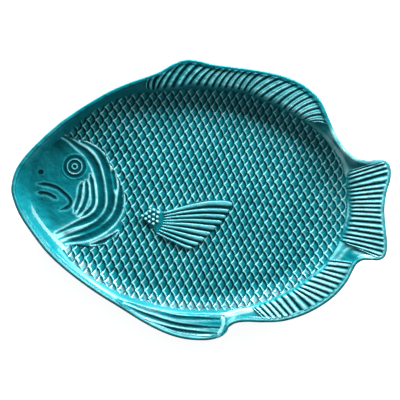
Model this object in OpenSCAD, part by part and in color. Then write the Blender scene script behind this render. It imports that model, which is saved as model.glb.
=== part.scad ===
// Fish shaped platter: a shallow glazed dish in the outline of a fish, head to the left and tail to
// the right, with a field of overlapping scales, rayed fins, gill folds, an eye and a raised side fin.
// The origin is on the table, under the middle of the platter. +X runs to the tail, +Y to the back fin.

/* [Overall] */
// Length from the nose to the tip of the tail
fish_length = 400; // [360:1:440]
// Width from the back fin to the belly fin
fish_width = 296; // [270:1:320]
// Height from the table to the top of the lip
fish_height = 30; // [28:0.5:34]

/* [Dish] */
// Thickness of the clay
wall = 5.5; // [4.5:0.1:6.5]
// Width of the curved side wall, seen from above
wall_run = 24; // [21:0.5:27]
// Rise of the fins from the top of the side wall to the lip
fin_rise = 5; // [3:0.1:6.5]
// Width of the rounded lip
lip_width = 5; // [4:0.1:6]
// Thickness of the rounded lip
lip_thick = 4.5; // [4:0.1:5]
// How far the lip stands above the fins inside it
lip_stand = 1.2; // [0.6:0.1:1.8]

/* [Foot ring] */
// Height of the foot ring
foot_height = 3.5; // [3:0.1:3.9]
// Width of the foot ring
foot_width = 6; // [4:0.1:9]
// Distance of the foot ring from the foot of the side wall
foot_inset = 4; // [2:0.5:12]

/* [Scales] */
// Length of a scale, along its row
scale_length = 8.6; // [8:0.1:11]
// Height of a scale, across its row
scale_height = 14.7; // [14:0.1:18]
// Angle by which the rows fall towards the tail
scale_tilt = 4.3; // [0:0.1:8]
// Height of the edge of a scale above the dish
scale_rise = 1.8; // [1.4:0.1:2.4]
// Height of the groove before the edges of the next scales
scale_dip = 0.4; // [0.3:0.1:0.9]

/* [Fin rays] */
// Number of rays on the back fin
dorsal_rays = 25; // [20:1:27]
// Number of rays on the tail
tail_rays = 18; // [14:1:20]
// Number of rays on the anal fin
anal_rays = 16; // [12:1:18]
// Height of a fin ray
ray_rise = 1.7; // [1:0.1:2.2]
// Height of the grooves between the rays
ray_dip = 0.3; // [0.2:0.1:0.8]
// Width of the three long ridges on the belly fin
pelvic_ridge = 4.4; // [3.4:0.1:4.8]

/* [Head] */
// Diameter of the eye
eye_size = 25; // [20:0.5:27]
// Height of the rings of the eye
eye_rise = 2.2; // [1.2:0.1:3]
// Width of a gill fold
fold_width = 8; // [6:0.1:8.4]
// Height of a gill fold
fold_rise = 2.4; // [1.6:0.1:3]
// Width of the mouth line
mouth_width = 3.4; // [2.6:0.1:4]
// Depth of the mouth line and of the nostril
mouth_depth = 1.6; // [1:0.1:2]
// Diameter of the nostril
nostril_size = 7; // [5:0.5:8]

/* [Side fin] */
// Thickness of the side fin
pectoral_rise = 3; // [2.6:0.1:4]
// Width of a ridge of the side fin
pectoral_ridge = 3.6; // [3:0.1:4]
// Height of a ridge above the side fin
pectoral_ridge_rise = 1.8; // [1:0.1:2.4]
// Diameter of a bead at the root of the side fin
bead_size = 3; // [2.4:0.1:3.2]

/* [Hidden] */

// Colours of the glaze and of the bare clay under the foot
glaze = [0.10, 0.55, 0.60];
pale_glaze = [0.36, 0.76, 0.79];
deep_glaze = [0.05, 0.40, 0.45];
bare_clay = [0.85, 0.79, 0.69];

// Facets of the side wall, from its foot to its top
wall_steps = 3;
// Length of the facets along the lip, along the top of the side wall and round the side fin
lip_piece = 11;
crest_piece = 9;
fin_piece = 5;
// How far what stands on the dish is carried down into it before it is cut to fit
bed = 1.2;
// How far a cut runs past the clay
overrun = 1;
// Fineness of the turned forms
$fn = 48;

// Heights of the flat floor, of the top of the side wall and of the lip's foot
floor_z = foot_height + wall;
fin_edge_z = fish_height - lip_stand;
crest_z = fin_edge_z - fin_rise;
wall_rise = crest_z - floor_z;

// Every point below is in percent of the length and of the width, from the middle of the platter
function spot(share) = [share.x * fish_length, share.y * fish_width] / 100;
function spots(shares) = [for (share = shares) spot(share)];

// Middle of the dish, from which bearings and reaches are taken
hub_share = [-1.6, 0];
hub = spot(hub_share);

// The lip, from the nose along the belly, the tail and the back to the nose again
belly_shares = [[-50, 4], [-49.4, 0], [-47.7, -5.4], [-44.7, -11.6], [-40.5, -19], [-35.3, -25.5],
    [-28.3, -32.5], [-21.3, -38.5], [-14.7, -44]];
pelvic_shares = [[-9.2, -47.6], [-4.5, -49.5], [0.5, -50], [3.8, -49.4], [5.9, -47.7], [7.3, -45.4],
    [9.2, -43.9]];
anal_shares = [[12.1, -43.4], [16.3, -43.6], [21.5, -43.2], [26.8, -41.1], [31.3, -38.1], [35.2, -34.2],
    [38.2, -29.6], [39.8, -25.7], [41, -22.9], [42.6, -21.6], [44.7, -21.5]];
tail_shares = [[46.8, -21.6], [48.3, -20.5], [48.9, -18.4], [48.9, -15], [48.5, -9.3], [48.3, -3.3],
    [48.9, 2.4], [49.7, 6.6], [50, 10.2], [49.5, 12.9], [48.1, 14.1], [46, 14.2]];
dorsal_shares = [[43.6, 14], [41, 15], [38.5, 17.6], [36.1, 21.9], [33.9, 28.5], [31.8, 34.9], [28.9, 39.1],
    [24.9, 42.5], [19.7, 44.9], [13.9, 46.4], [8.1, 47.5], [3.1, 48.4], [-0.6, 49.6], [-3.7, 50],
    [-7.1, 48.6], [-10.8, 45.8], [-14.2, 44]];
back_shares = [[-19.2, 41.7], [-24.5, 38.5], [-30.5, 33.7], [-36.6, 28.3], [-42.4, 21.4], [-46.6, 15.3],
    [-49.1, 9.8]];
lip_shares = concat(belly_shares, pelvic_shares, anal_shares, tail_shares, dorsal_shares, back_shares);

// The top of the side wall, where the fins begin
crest_shares = [[-48.6, 4.2], [-47.4, -2], [-44, -10], [-39, -18], [-33.3, -25.3], [-27.9, -30.4],
    [-22.5, -34.4], [-17.5, -37.2], [-12, -39.2], [-6, -40.5], [0, -41], [6, -40.6], [12, -38.9],
    [18, -36.7], [24, -33], [29.5, -27.8], [34, -21.8], [37.6, -15], [39.3, -8.6], [39.9, -2.9],
    [39.8, 2.7], [39.3, 8.1], [38.1, 13.4], [35.7, 18.7], [32.2, 23.9], [28, 28.3], [23, 32.3],
    [17.5, 35.8], [11.5, 38.5], [5.5, 40], [-1, 40.5], [-7, 40], [-13, 39.2], [-18.2, 39.3],
    [-23.2, 37], [-29.2, 32.6], [-35.4, 27.4], [-41.2, 20.8], [-45.3, 15], [-47.8, 9.7]];

// The edge of the field of scales: along the side wall, then along the gill folds
field_shares = [[-34.7, -21.3], [-31.8, -23.7], [-27.6, -27.6], [-22.6, -31.2], [-17.1, -34.2],
    [-11.6, -36.7], [-6.1, -38.1], [0, -38.6], [5.5, -38.5], [10.8, -37.6], [15.5, -36.2], [20, -33.8],
    [24.2, -30.6], [28.1, -26.7], [31.5, -22.5], [34.4, -17.9], [36.5, -12.9], [37.8, -7.9], [38.2, -2.9],
    [38.4, 2.4], [38, 8.1], [36.9, 13.4], [34.9, 18], [32.3, 22.3], [29.4, 25.8], [26, 29], [22.1, 32],
    [17.6, 34.7], [12.9, 37], [8.1, 38.2], [2.9, 38.8], [-2.4, 39], [-7.6, 38.6], [-12.9, 37.9],
    [-17.1, 37.4], [-22.1, 35.4], [-27.1, 32], [-31.3, 28.2], [-34.3, 26.6], [-22.8, 17], [-22, 12.3],
    [-21.2, 8.6], [-20.2, 4.5], [-19.6, 0], [-19.8, -4.7], [-20.4, -9.6], [-21.6, -12.6]];

// Where the grooves of a fin run, from the side wall to the lip, at equal steps along the fin
dorsal_row_shares = [[-14, 39.5, -13, 42.5], [-5, 40.7, -0.3, 48.3], [4.8, 40.4, 8.4, 46.2],
    [12.9, 38.6, 18.4, 43.8], [22.1, 32.7, 28.3, 38.7], [28.9, 27.8, 33.2, 27.6]];
tail_row_shares = [[39.7, 10.4, 46.8, 13.2], [39.4, 5.8, 49, 9.5], [39.7, 1.3, 48, 2.4],
    [39.9, -2.9, 47.6, -2.9], [39.4, -7.4, 47.8, -8.5], [38.4, -12.4, 48, -14.7], [39.1, -16.4, 47.4, -20]];
anal_row_shares = [[33.9, -21.8, 38.3, -21.8], [29.9, -27.5, 37, -30.4], [25.2, -32.1, 31.3, -37],
    [19.7, -36, 23.4, -41], [14.2, -38.6, 16.8, -41.6]];

// The ridges of the belly fin, and the bend that closes them towards the tail
pelvic_ridge_shares = [
    [[-19.7, -36.7], [-13.4, -39.9], [-8.2, -42], [-2.9, -43.1], [4.4, -43.6]],
    [[-19.7, -38], [-13.7, -41.6], [-8.7, -43.9], [-2.9, -45.3], [4.2, -46]],
    [[-18.4, -40.1], [-12.4, -43.8], [-7.6, -46], [-2.9, -47.2], [3.1, -47.9]],
    [[5.6, -41.9], [6.2, -43.4], [5.9, -45.4], [4.9, -47.5]]];

// A ray's height across it, from one groove towards the next, and along it, from its foot
ray_across_shares = [[0, 0], [0.22, 0.9], [0.78, 0.9]];
ray_step_shares = [[0, 0.5], [0.25, 1], [0.8, 0.9], [1, 0.3]];
// Where the rays end on the inner slope of the lip, as a share of its width from the outline
ray_end_share = 0.8;

// The gill folds, from the cheek outwards
fold_shares = [
    [[-30.9, 6.3], [-31.4, 2.7], [-31.7, -0.8], [-32.8, -4.7]],
    [[-29.5, 7.7], [-29.4, 4], [-29.4, -0.1], [-30.1, -3.1], [-31.8, -6]],
    [[-28.9, 12.3], [-27.9, 8.4], [-27.3, 4.5], [-27.2, 0.6], [-27.9, -3.1], [-29.9, -6.3], [-33.4, -8.1]],
    [[-33.9, 22.1], [-31, 19.4], [-28.8, 16.4], [-27, 13], [-25.9, 8.6], [-25.1, 4.2], [-25, -0.1],
        [-25.7, -4.4], [-27.5, -7.2], [-30.7, -9.2], [-34.3, -10.6], [-37.9, -12.5]],
    [[-25.8, 17.3], [-24.2, 13.4], [-23.3, 9.1], [-22.6, 4.9], [-22.5, 1.3], [-22.6, -2.2], [-23.6, -6.1],
        [-25.3, -9.2], [-28.4, -11.6], [-32.2, -13.1], [-36.6, -14.8]],
    [[-21.2, -5.1], [-22, -8.1], [-23.6, -11.3], [-26.3, -13.8], [-30, -15.1], [-33.9, -15.7]]];
// Width of each fold, as a share of the widest
fold_width_shares = [0.5, 0.5, 0.8, 1, 1, 0.7];

// Middles of the eye and of the nostril, and the two lines of the mouth
eye_share = [-33.4, 11.9];
nostril_share = [-42.4, 9.7];
mouth_shares = [
    [[-43.1, 5.6], [-40.2, 5.1], [-37.6, 4], [-35.6, 1.8], [-34.3, -0.6], [-34.7, -2.6], [-37, -3.7]],
    [[-43.1, 2.4], [-41.3, 2.3], [-39.5, 1.3], [-38.1, 0.2]]];
// The turned rings of the eye: shares of its radius and of its height
eye_ring_shares = [[0, 0], [1, 0], [0.97, 0.7], [0.9, 0.9], [0.84, 0.35], [0.74, 0.3], [0.68, 0.95],
    [0.6, 1], [0.54, 0.35], [0.36, 0.3], [0.29, 0.95], [0.2, 1], [0.13, 0.35], [0, 0.3]];

// Outline of the side fin, its ridges and the beads at its root
pectoral_shares = [[-16.3, -6], [-15.4, -4.3], [-14.2, -3.1], [-12.5, -2.4], [-10.8, -3.1], [-9.2, -3.6],
    [-5.5, -2.2], [-1.6, -0.5], [2.3, 0.3], [5.5, 0.3], [7.9, -0.2], [8.4, -1.9], [7.5, -4.4], [6.4, -6.7],
    [5.4, -8.6], [3.8, -10.8], [2.2, -12.9], [0.6, -14.8], [-0.9, -16.8], [-3.2, -18.2], [-5.5, -17],
    [-8.7, -14.9], [-12, -12.7], [-13.6, -10], [-15.3, -7.9]];
pectoral_ridge_shares = [
    [[-9.6, -4.7], [-5.5, -3.1], [-1.6, -1.7], [2.3, -1], [5.5, -1], [7.4, -1.6]],
    [[-9.5, -5.8], [-5.5, -4.7], [-1.6, -3.9], [2.3, -3.6], [6.6, -4]],
    [[-9.5, -6.9], [-5, -6.1], [0.5, -5.7], [5.9, -6.1]],
    [[-9.8, -7.8], [-5, -7.5], [0.2, -7.4], [4.9, -8.1]],
    [[-9.8, -8.7], [-5, -8.8], [-0.3, -9.3], [3.4, -10]],
    [[-10.3, -9.6], [-6.1, -10.3], [-1.6, -11.4], [1.8, -12.3]],
    [[-10.7, -10.5], [-6.9, -11.7], [-2.9, -13.2], [0.2, -14.3]],
    [[-11.1, -11.3], [-7.6, -12.9], [-4.2, -14.6], [-1.4, -16]],
    [[-11.5, -12], [-8.7, -13.8], [-5.5, -15.8], [-3.4, -17.2]]];
bead_shares = [[-15.3, -6], [-14.5, -4.9], [-14.5, -7], [-13.6, -4], [-13.6, -6], [-13.6, -8], [-12.5, -3.5],
    [-12.5, -5.2], [-12.5, -7], [-12.5, -8.8], [-11.3, -4.5], [-11.4, -6.2], [-11.4, -8]];

// Smooth curves through given points of any dimension: a closed one in pieces of about one length, and
// an open one in steps pieces for each stretch
function bend(a, b, c, d, t) =
    (2 * b + (c - a) * t + (2 * a - 5 * b + 4 * c - d) * t ^ 2 + (3 * b - a - 3 * c + d) * t ^ 3) / 2;
function closed_curve(p, piece) = let (n = len(p))
    [for (i = [0:n - 1]) let (next = p[(i + 1) % n], steps = max(1, round(norm(next - p[i]) / piece)))
        each [for (k = [0:steps - 1]) bend(p[(i + n - 1) % n], p[i], next, p[(i + 2) % n], k / steps)]];
function along(p, u) = let (n = len(p) - 1, i = min(floor(u * n), n - 1))
    bend(p[max(i - 1, 0)], p[i], p[i + 1], p[min(i + 2, n)], u * n - i);
function open_curve(p, steps) = let (n = (len(p) - 1) * steps) [for (i = [0:n]) along(p, i / n)];

// Bearing and reach of a point from the hub. A loop's table of them is laid three times round,
// so that lookup() never runs off its ends
function bearing(p) = atan2(p.y - hub.y, p.x - hub.x);
function reach(p) = norm([p.x - hub.x, p.y - hub.y]);
function polar(loop) = [for (turn = [-360, 0, 360], p = loop) [bearing(p) + turn, reach(p)]];
function toward(angle, far) = [hub.x + far * cos(angle), hub.y + far * sin(angle)];

// The lip's outline, fitted to the named length and width
lip_curve = closed_curve(spots(lip_shares), lip_piece);
lip_low = [min([for (p = lip_curve) p.x]), min([for (p = lip_curve) p.y])];
lip_high = [max([for (p = lip_curve) p.x]), max([for (p = lip_curve) p.y])];
lip_loop = [for (p = lip_curve) [((p.x - lip_low.x) / (lip_high.x - lip_low.x) - 1 / 2) * fish_length,
    ((p.y - lip_low.y) / (lip_high.y - lip_low.y) - 1 / 2) * fish_width]];
lip_polar = polar(lip_loop);
field_polar = polar(spots(field_shares));

// The top of the side wall, at the bearings where the lip's outline has its corners
crest_curve = polar(closed_curve(spots(crest_shares), crest_piece));
crest_polar = polar([for (p = lip_loop) toward(bearing(p), lookup(bearing(p), crest_curve))]);

// Rise of the side wall at a share of its run: a parabola, in as many straight steps as the dish has
function wall_share(t) = let (i = min(floor(t * wall_steps), wall_steps - 1), low = i / wall_steps,
    high = (i + 1) / wall_steps) low ^ 2 + (t - low) * (low + high);

// Height of the dish at a point: flat floor, side wall, then the sloping fins
function dish_z(p) =
    let (angle = bearing(p), far = reach(p), crest = lookup(angle, crest_polar),
        lip = lookup(angle, lip_polar), t = 1 + (far - crest) / wall_run)
    t <= 0 ? floor_z : t <= 1 ? floor_z + wall_rise * wall_share(t) :
    crest_z + fin_rise * min(1, (far - crest) / (lip - crest));

// Section of the clay along one bearing, as reaches and heights: up the inside, over the lip and
// back along the underside, which keeps the thickness of the clay
function section(lip, crest) =
    let (band = lip - crest, edge = min(lip_width, band * 4 / 5)) concat(
    [for (i = [0:wall_steps]) let (t = i / wall_steps)
        [crest - wall_run * (1 - t), floor_z + wall_rise * t ^ 2]],
    [[lip - edge, fin_edge_z - fin_rise * edge / band], [lip - edge * 0.65, fish_height - lip_stand * 0.3],
        [lip - edge * 0.35, fish_height], [lip, fish_height - lip_thick * 0.45],
        [lip - edge * 0.4, fish_height - lip_thick]],
    [for (i = [wall_steps:-1:0]) let (t = i / wall_steps, slope = 2 * wall_rise * t / wall_run,
            drop = wall / sqrt(1 + slope ^ 2))
        [min(crest - wall_run * (1 - t) + drop * slope, lip - edge * 0.4),
            floor_z + wall_rise * t ^ 2 - drop]]);

// Section of a ridge: shares of its half width, and of its height from its foot in the clay
ridge_shares = [[-1, 0], [-0.6, 0.9], [0.6, 0.9], [1, 0]];

// The closed solid through a row of sections, each with its points in the same order
module sweep(rings) {
    m = len(rings[0]);
    function at(i, k) = i * m + k % m;
    polyhedron([for (ring = rings, p = ring) p], concat(
        [for (i = [0:len(rings) - 2], k = [0:m - 1]) each [[at(i, k), at(i, k + 1), at(i + 1, k + 1)],
            [at(i, k), at(i + 1, k + 1), at(i + 1, k)]]],
        [[for (k = [m - 1:-1:0]) at(0, k)], [for (k = [0:m - 1]) at(len(rings) - 1, k)]]));
}

// A ridge that follows a path over the dish. It narrows and sinks to the end share at both ends
module ridge(path, width, rise, end_share = 0.3, lift = 0) {
    n = len(path) - 1;
    sweep([for (i = [0:n]) let (run = path[min(i + 1, n)] - path[max(i - 1, 0)],
            side = [-run.y, run.x] / norm(run), size = end_share + (1 - end_share) * sqrt(sin(180 * i / n)))
        [for (s = ridge_shares) let (p = path[i] + side * s.x * size * width / 2)
            [p.x, p.y, dish_z(p) + lift - bed + (rise * size + bed) * s.y]]]);
}

// A rounded groove that follows a path over the dish
module groove(path, width, depth) {
    for (i = [0:len(path) - 2]) hull() for (p = [path[i], path[i + 1]])
        translate([p.x, p.y, dish_z(p) + width / 2 - depth]) sphere(d = width, $fn = 8);
}

// What stands on the dish, cut to sit on it
module seated() difference() {
    children();
    platter_body();
}

// The dish with its fins and lip, in one wall of clay
module dish() {
    n = len(lip_loop);
    rings = [for (p = lip_loop) let (angle = bearing(p))
        [for (s = section(reach(p), lookup(angle, crest_polar))) concat(toward(angle, s.x), s.y)]];
    last = len(rings[0]) - 1;
    points = concat([for (ring = rings, p = ring) p],
        [[hub.x, hub.y, floor_z], [hub.x, hub.y, foot_height]]);
    function at(i, k) = (i % n) * (last + 1) + k;
    faces = [for (i = [0:n - 1]) each concat(
        [for (k = [0:last - 1]) each [[at(i, k), at(i + 1, k), at(i + 1, k + 1)],
            [at(i, k), at(i + 1, k + 1), at(i, k + 1)]]],
        [[len(points) - 2, at(i + 1, 0), at(i, 0)], [len(points) - 1, at(i, last), at(i + 1, last)]])];
    polyhedron(points, faces);
}

module platter_body() {
    color(glaze) difference() {
        dish();
        for (shares = mouth_shares) groove(open_curve(spots(shares), 2), mouth_width, mouth_depth);
        translate(concat(spot(nostril_share), dish_z(spot(nostril_share)) + nostril_size / 2 - mouth_depth))
            sphere(d = nostril_size, $fn = 12);
    }
}

// The loop at a distance inside the foot of the side wall
function foot_loop(inset) = [for (p = lip_loop) let (angle = bearing(p))
    toward(angle, lookup(angle, crest_polar) - wall_run - inset)];

module foot_ring() {
    color(bare_clay) difference() {
        linear_extrude(foot_height) polygon(foot_loop(foot_inset));
        translate([0, 0, -overrun]) linear_extrude(foot_height + 2 * overrun)
            polygon(foot_loop(foot_inset + foot_width));
    }
}

// The point on the top of the side wall at the bearing of a given point, and a point kept from lying
// beyond it
function on_crest(p) = toward(bearing(p), lookup(bearing(p), crest_polar));
function held_in(p) = reach(p) > lookup(bearing(p), crest_polar) ? on_crest(p) : p;

// Corners of the scales, where column and row are both even or both odd. The columns stand closest a
// little before the middle and widest at both ends, and the rows fan out towards the belly
scale_centre_share = [12.9, 2.1];
wave_step = 6.4;
function wave(column) = sin((column + 5) * wave_step) - sin(5 * wave_step);
swell_share = 0.59;
widen_share = 0.00022;
lean_share = 0.063;
bow_share = 0.0019;
crowd_share = 0.0008;
sag_share = 0.163;
fan_share = 0.0019;
function grid(column, row) = held_in(spot(scale_centre_share) + [
    (column - swell_share * wave(column)) * (1 + widen_share * (row - 5) ^ 2) * scale_length / 2
        + (lean_share * row + bow_share * row ^ 2) * scale_height / 2,
    (row - crowd_share * row ^ 2) * scale_height / 2 - (column * tan(scale_tilt)
        + sag_share * wave(column)) * (1 - fan_share * (row - 6) ^ 2) * scale_length / 2]);
function on_dish(p, rise) = [p.x, p.y, dish_z(p) + rise];

// The places beyond a scale's four edges, from its upper front edge round
beyond = [[-1, 1], [1, 1], [1, -1], [-1, -1]];
// Whether the scale with its front corner at this place is laid: its middle lies in the field and at
// least two neighbours do
function reached(column, row) = let (p = grid(column + 1, row)) reach(p) < lookup(bearing(p), field_polar);
function in_field(column, row) = reached(column, row)
    && len([for (b = beyond) if (reached(column + b.x, row + b.y)) b]) > 1;

// One scale: its four corners, and the groove before its rear edges as shares of the way along its
// front edges. The triangles run between these points
groove_shares = [[0.86, 0.16], [0.84, 0.84], [0.16, 0.86]];
scale_faces = [[0, 1, 4], [0, 4, 5], [0, 5, 6], [0, 6, 3], [1, 2, 4], [4, 2, 5], [2, 3, 6], [2, 6, 5]];
function scale_corners(c, r) = [grid(c, r), grid(c + 1, r + 1), grid(c + 2, r), grid(c + 1, r - 1)];
function scale_points(c, r) = concat([for (p = scale_corners(c, r)) on_dish(p, scale_rise)],
    [for (s = groove_shares) on_dish(grid(c + s.x + s.y, r + s.x - s.y), scale_dip)]);

// The field of scales as one skin, closed below the dish. Neighbours share their edges
module scale_skin() {
    columns = ceil(fish_length / scale_length);
    rows = ceil(fish_width / scale_height);
    places = [for (r = [-rows:rows], c = [-columns:columns])
        if ((r + c) % 2 == 0 && in_field(c, r)) [c, r]];
    upper = [for (place = places) each scale_points(place.x, place.y)];
    lower = [for (place = places, p = scale_corners(place.x, place.y)) on_dish(p, -bed)];
    corners = len(beyond);
    points = corners + len(groove_shares);
    faces = [for (i = [0:len(places) - 1]) let (top = i * points, low = len(upper) + i * corners)
        each concat(
        [for (face = scale_faces) [for (k = face) top + k]],
        [[low + 2, low + 1, low], [low + 3, low + 2, low]],
        [for (k = [0:corners - 1]) let (next = (k + 1) % corners)
            if (!in_field(places[i].x + beyond[k].x, places[i].y + beyond[k].y))
                each [[top + k, low + k, top + next], [top + next, low + k, low + next]]])];
    polyhedron(concat(upper, lower), faces);
}

module scale_field() {
    color(glaze) seated() difference() {
        scale_skin();
        linear_extrude(fish_height) pectoral_outline();
        folds();
    }
}

module folds() {
    for (i = [0:len(fold_shares) - 1])
        ridge(open_curve(spots(fold_shares[i]), 2), fold_width * fold_width_shares[i], fold_rise);
}

module gill_folds() {
    color(pale_glaze) seated() folds();
}

module eye() {
    color(deep_glaze) translate(concat(spot(eye_share), floor_z)) rotate_extrude()
        polygon([for (s = eye_ring_shares) [s.x * eye_size / 2, s.y * eye_rise]]);
}

// The point on the inner slope of the lip at the bearing of a given point
function on_lip(p) = toward(bearing(p), lookup(bearing(p), lip_polar) - lip_width * ray_end_share);

// The rays of a fin as one fluted panel from the top of the side wall to the lip, closed below the dish.
// The table says where the grooves run
module rays(row_shares, count) {
    columns = [for (k = [0:count - 1], s = ray_across_shares) [(k + s.x) / count, s.y], [1, 0]];
    last = len(ray_step_shares) - 1;
    upper = [for (c = columns) let (row = along(row_shares, c.x), foot = on_crest(spot([row[0], row[1]])),
            run = on_lip(spot([row[2], row[3]])) - foot)
        each [for (step = ray_step_shares)
            on_dish(foot + run * step.x, ray_dip + (ray_rise * step.y - ray_dip) * c.y)]];
    low = len(upper);
    function at(i, k) = i * (last + 1) + k;
    // The edge all round, from the first groove over the feet, the last groove and the ends of the rays
    rim = concat([for (k = [0:last - 1]) at(0, k)], [for (i = [0:len(columns) - 2]) at(i, last)],
        [for (k = [last:-1:1]) at(len(columns) - 1, k)], [for (i = [len(columns) - 1:-1:1]) at(i, 0)]);
    polyhedron(concat(upper, [for (p = upper) [p.x, p.y, dish_z(p) - bed]]), concat(
        [for (i = [0:len(columns) - 2], k = [0:last - 1])
            each [[at(i, k), at(i, k + 1), at(i + 1, k + 1)], [at(i, k), at(i + 1, k + 1), at(i + 1, k)]]],
        [for (i = [0:len(columns) - 2], k = [0:last - 1])
            each [[low + at(i, k), low + at(i + 1, k + 1), low + at(i, k + 1)],
                [low + at(i, k), low + at(i + 1, k), low + at(i + 1, k + 1)]]],
        [for (j = [0:len(rim) - 1]) let (a = rim[j], b = rim[(j + 1) % len(rim)])
            each [[b, a, low + a], [b, low + a, low + b]]]));
}

module dorsal_fin_rays() {
    color(pale_glaze) seated() rays(dorsal_row_shares, dorsal_rays);
}

module tail_fin_rays() {
    color(pale_glaze) seated() rays(tail_row_shares, tail_rays);
}

module anal_fin_rays() {
    color(pale_glaze) seated() rays(anal_row_shares, anal_rays);
}

module pelvic_fin_rays() {
    color(pale_glaze) seated()
        for (shares = pelvic_ridge_shares) ridge(open_curve(spots(shares), 2), pelvic_ridge, ray_rise);
}

module pectoral_outline() polygon(closed_curve(spots(pectoral_shares), fin_piece));

module pectoral_fin() {
    color(pale_glaze) {
        translate([0, 0, floor_z]) linear_extrude(pectoral_rise) pectoral_outline();
        for (shares = pectoral_ridge_shares)
            ridge(spots(shares), pectoral_ridge, pectoral_ridge_rise, 0.5, pectoral_rise);
    }
}

module fin_root_beads() {
    color(pale_glaze)
        for (share = bead_shares) translate(concat(spot(share), floor_z + pectoral_rise)) rotate_extrude()
            intersection() {
                circle(d = bead_size);
                square(bead_size);
            }
}

platter_body();
foot_ring();
scale_field();
gill_folds();
eye();
dorsal_fin_rays();
tail_fin_rays();
anal_fin_rays();
pelvic_fin_rays();
pectoral_fin();
fin_root_beads();
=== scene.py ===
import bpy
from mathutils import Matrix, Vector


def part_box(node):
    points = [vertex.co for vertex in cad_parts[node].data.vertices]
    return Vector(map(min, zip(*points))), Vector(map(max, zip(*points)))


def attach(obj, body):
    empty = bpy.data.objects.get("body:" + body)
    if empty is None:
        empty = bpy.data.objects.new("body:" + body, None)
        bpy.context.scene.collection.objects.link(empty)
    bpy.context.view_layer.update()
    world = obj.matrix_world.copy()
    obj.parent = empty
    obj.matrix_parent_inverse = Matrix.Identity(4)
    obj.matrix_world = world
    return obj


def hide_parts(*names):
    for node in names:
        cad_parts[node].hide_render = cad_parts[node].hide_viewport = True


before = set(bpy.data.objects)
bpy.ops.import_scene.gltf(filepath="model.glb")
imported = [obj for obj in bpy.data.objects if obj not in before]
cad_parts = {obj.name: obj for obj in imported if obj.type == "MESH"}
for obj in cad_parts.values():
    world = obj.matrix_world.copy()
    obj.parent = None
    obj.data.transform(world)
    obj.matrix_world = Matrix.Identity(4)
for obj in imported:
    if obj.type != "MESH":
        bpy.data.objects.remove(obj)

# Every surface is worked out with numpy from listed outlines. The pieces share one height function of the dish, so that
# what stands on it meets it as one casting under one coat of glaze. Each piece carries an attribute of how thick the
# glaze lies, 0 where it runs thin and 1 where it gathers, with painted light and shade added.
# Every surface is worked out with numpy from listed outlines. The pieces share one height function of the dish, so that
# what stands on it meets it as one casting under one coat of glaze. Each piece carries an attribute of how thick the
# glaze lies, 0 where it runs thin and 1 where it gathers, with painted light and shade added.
"""Looks of the fish shaped platter: a glazed dish with scales, rayed fins, gill folds, an eye and a side fin.

Every surface is worked out with numpy from hand-read outlines. The pieces share one height function of the
dish, so that what stands on it meets it as one casting under one coat of glaze. Each piece carries an
attribute, glaze_pool, which says how thick the glaze lies: 0 where it runs thin, 1 where it gathers.
"""

import logging
from dataclasses import dataclass
from enum import Enum

import bpy
import numpy as np

LOG = logging.getLogger("platter")
MM = 0.001
BODY = "root"
GLAZE_AND_LIGHT_ATTRIBUTE = "glaze_pool"
# What stands on the dish stays this far below the top of the lip
GAP = 0.05 * MM
Array = np.ndarray

# The object's box in the photograph, in its pixels: left, right, top and bottom
PHOTO_BOX = (10.9, 391.3, 58.9, 340.5)
PHOTO_SIZE = 400

# The lip from the nose along the belly, the tail and the back, in pixels of the photograph
LIP = (
    (11, 188), (13.2, 200), (19.5, 215), (31, 232.5), (47, 253), (67, 271.5), (93.5, 291.3), (120, 308), (145, 323.5),
    (166, 333.7), (184, 339), (203, 340.5), (215.5, 338.8), (223.5, 334), (229, 327.5), (236, 323.3), (247, 322),
    (263, 322.5), (283, 321.4), (303, 315.5), (320, 307), (335, 296), (346.5, 283), (352.5, 272), (357, 264.3),
    (363, 260.5), (371, 260.2), (378.5, 260.5), (384, 258), (387, 252.5), (387.6, 242), (386, 226), (385, 209),
    (387, 193), (390.6, 181), (391.5, 171), (389.3, 163.5), (384, 160), (376, 159.8), (367, 160.2), (357, 157.5),
    (347.5, 150.2), (338.5, 138), (330, 119.5), (322, 101.5), (311, 89.5), (296, 80), (276, 73.2), (254, 69),
    (232, 66), (213, 63.5), (199, 60), (187, 58.9), (174, 62.8), (160, 70.8), (147, 75.8), (128, 82.3), (108, 91.2),
    (85, 104.8), (62, 120), (40, 139.5), (24, 156.5), (14.5, 172))

# The top of the side wall, where the fins begin
CREST = (
    (16.2, 187.9), (20.8, 205.3), (33.7, 227.9), (52.7, 250.4), (74.4, 270.9), (95, 285.3), (115.5, 296.6),
    (134.5, 304.5), (155.5, 310.1), (178.3, 313.7), (201.1, 315.2), (223.9, 314), (246.7, 309.2), (269.6, 303),
    (292.4, 292.6), (313.3, 278), (330.4, 261.1), (344.1, 241.9), (350.6, 223.9), (352.9, 207.9), (352.5, 192.1),
    (350.6, 176.9), (346, 162), (336.9, 147), (323.6, 132.4), (307.6, 120), (288.6, 108.7), (267.7, 98.9),
    (244.8, 91.3), (222, 87.1), (197.3, 85.7), (174.5, 87.1), (151.6, 89.3), (131.9, 89), (112.8, 95.5), (90, 107.9),
    (66.4, 122.5), (44.4, 141.1), (28.8, 157.5), (19.3, 172.4))

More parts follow.
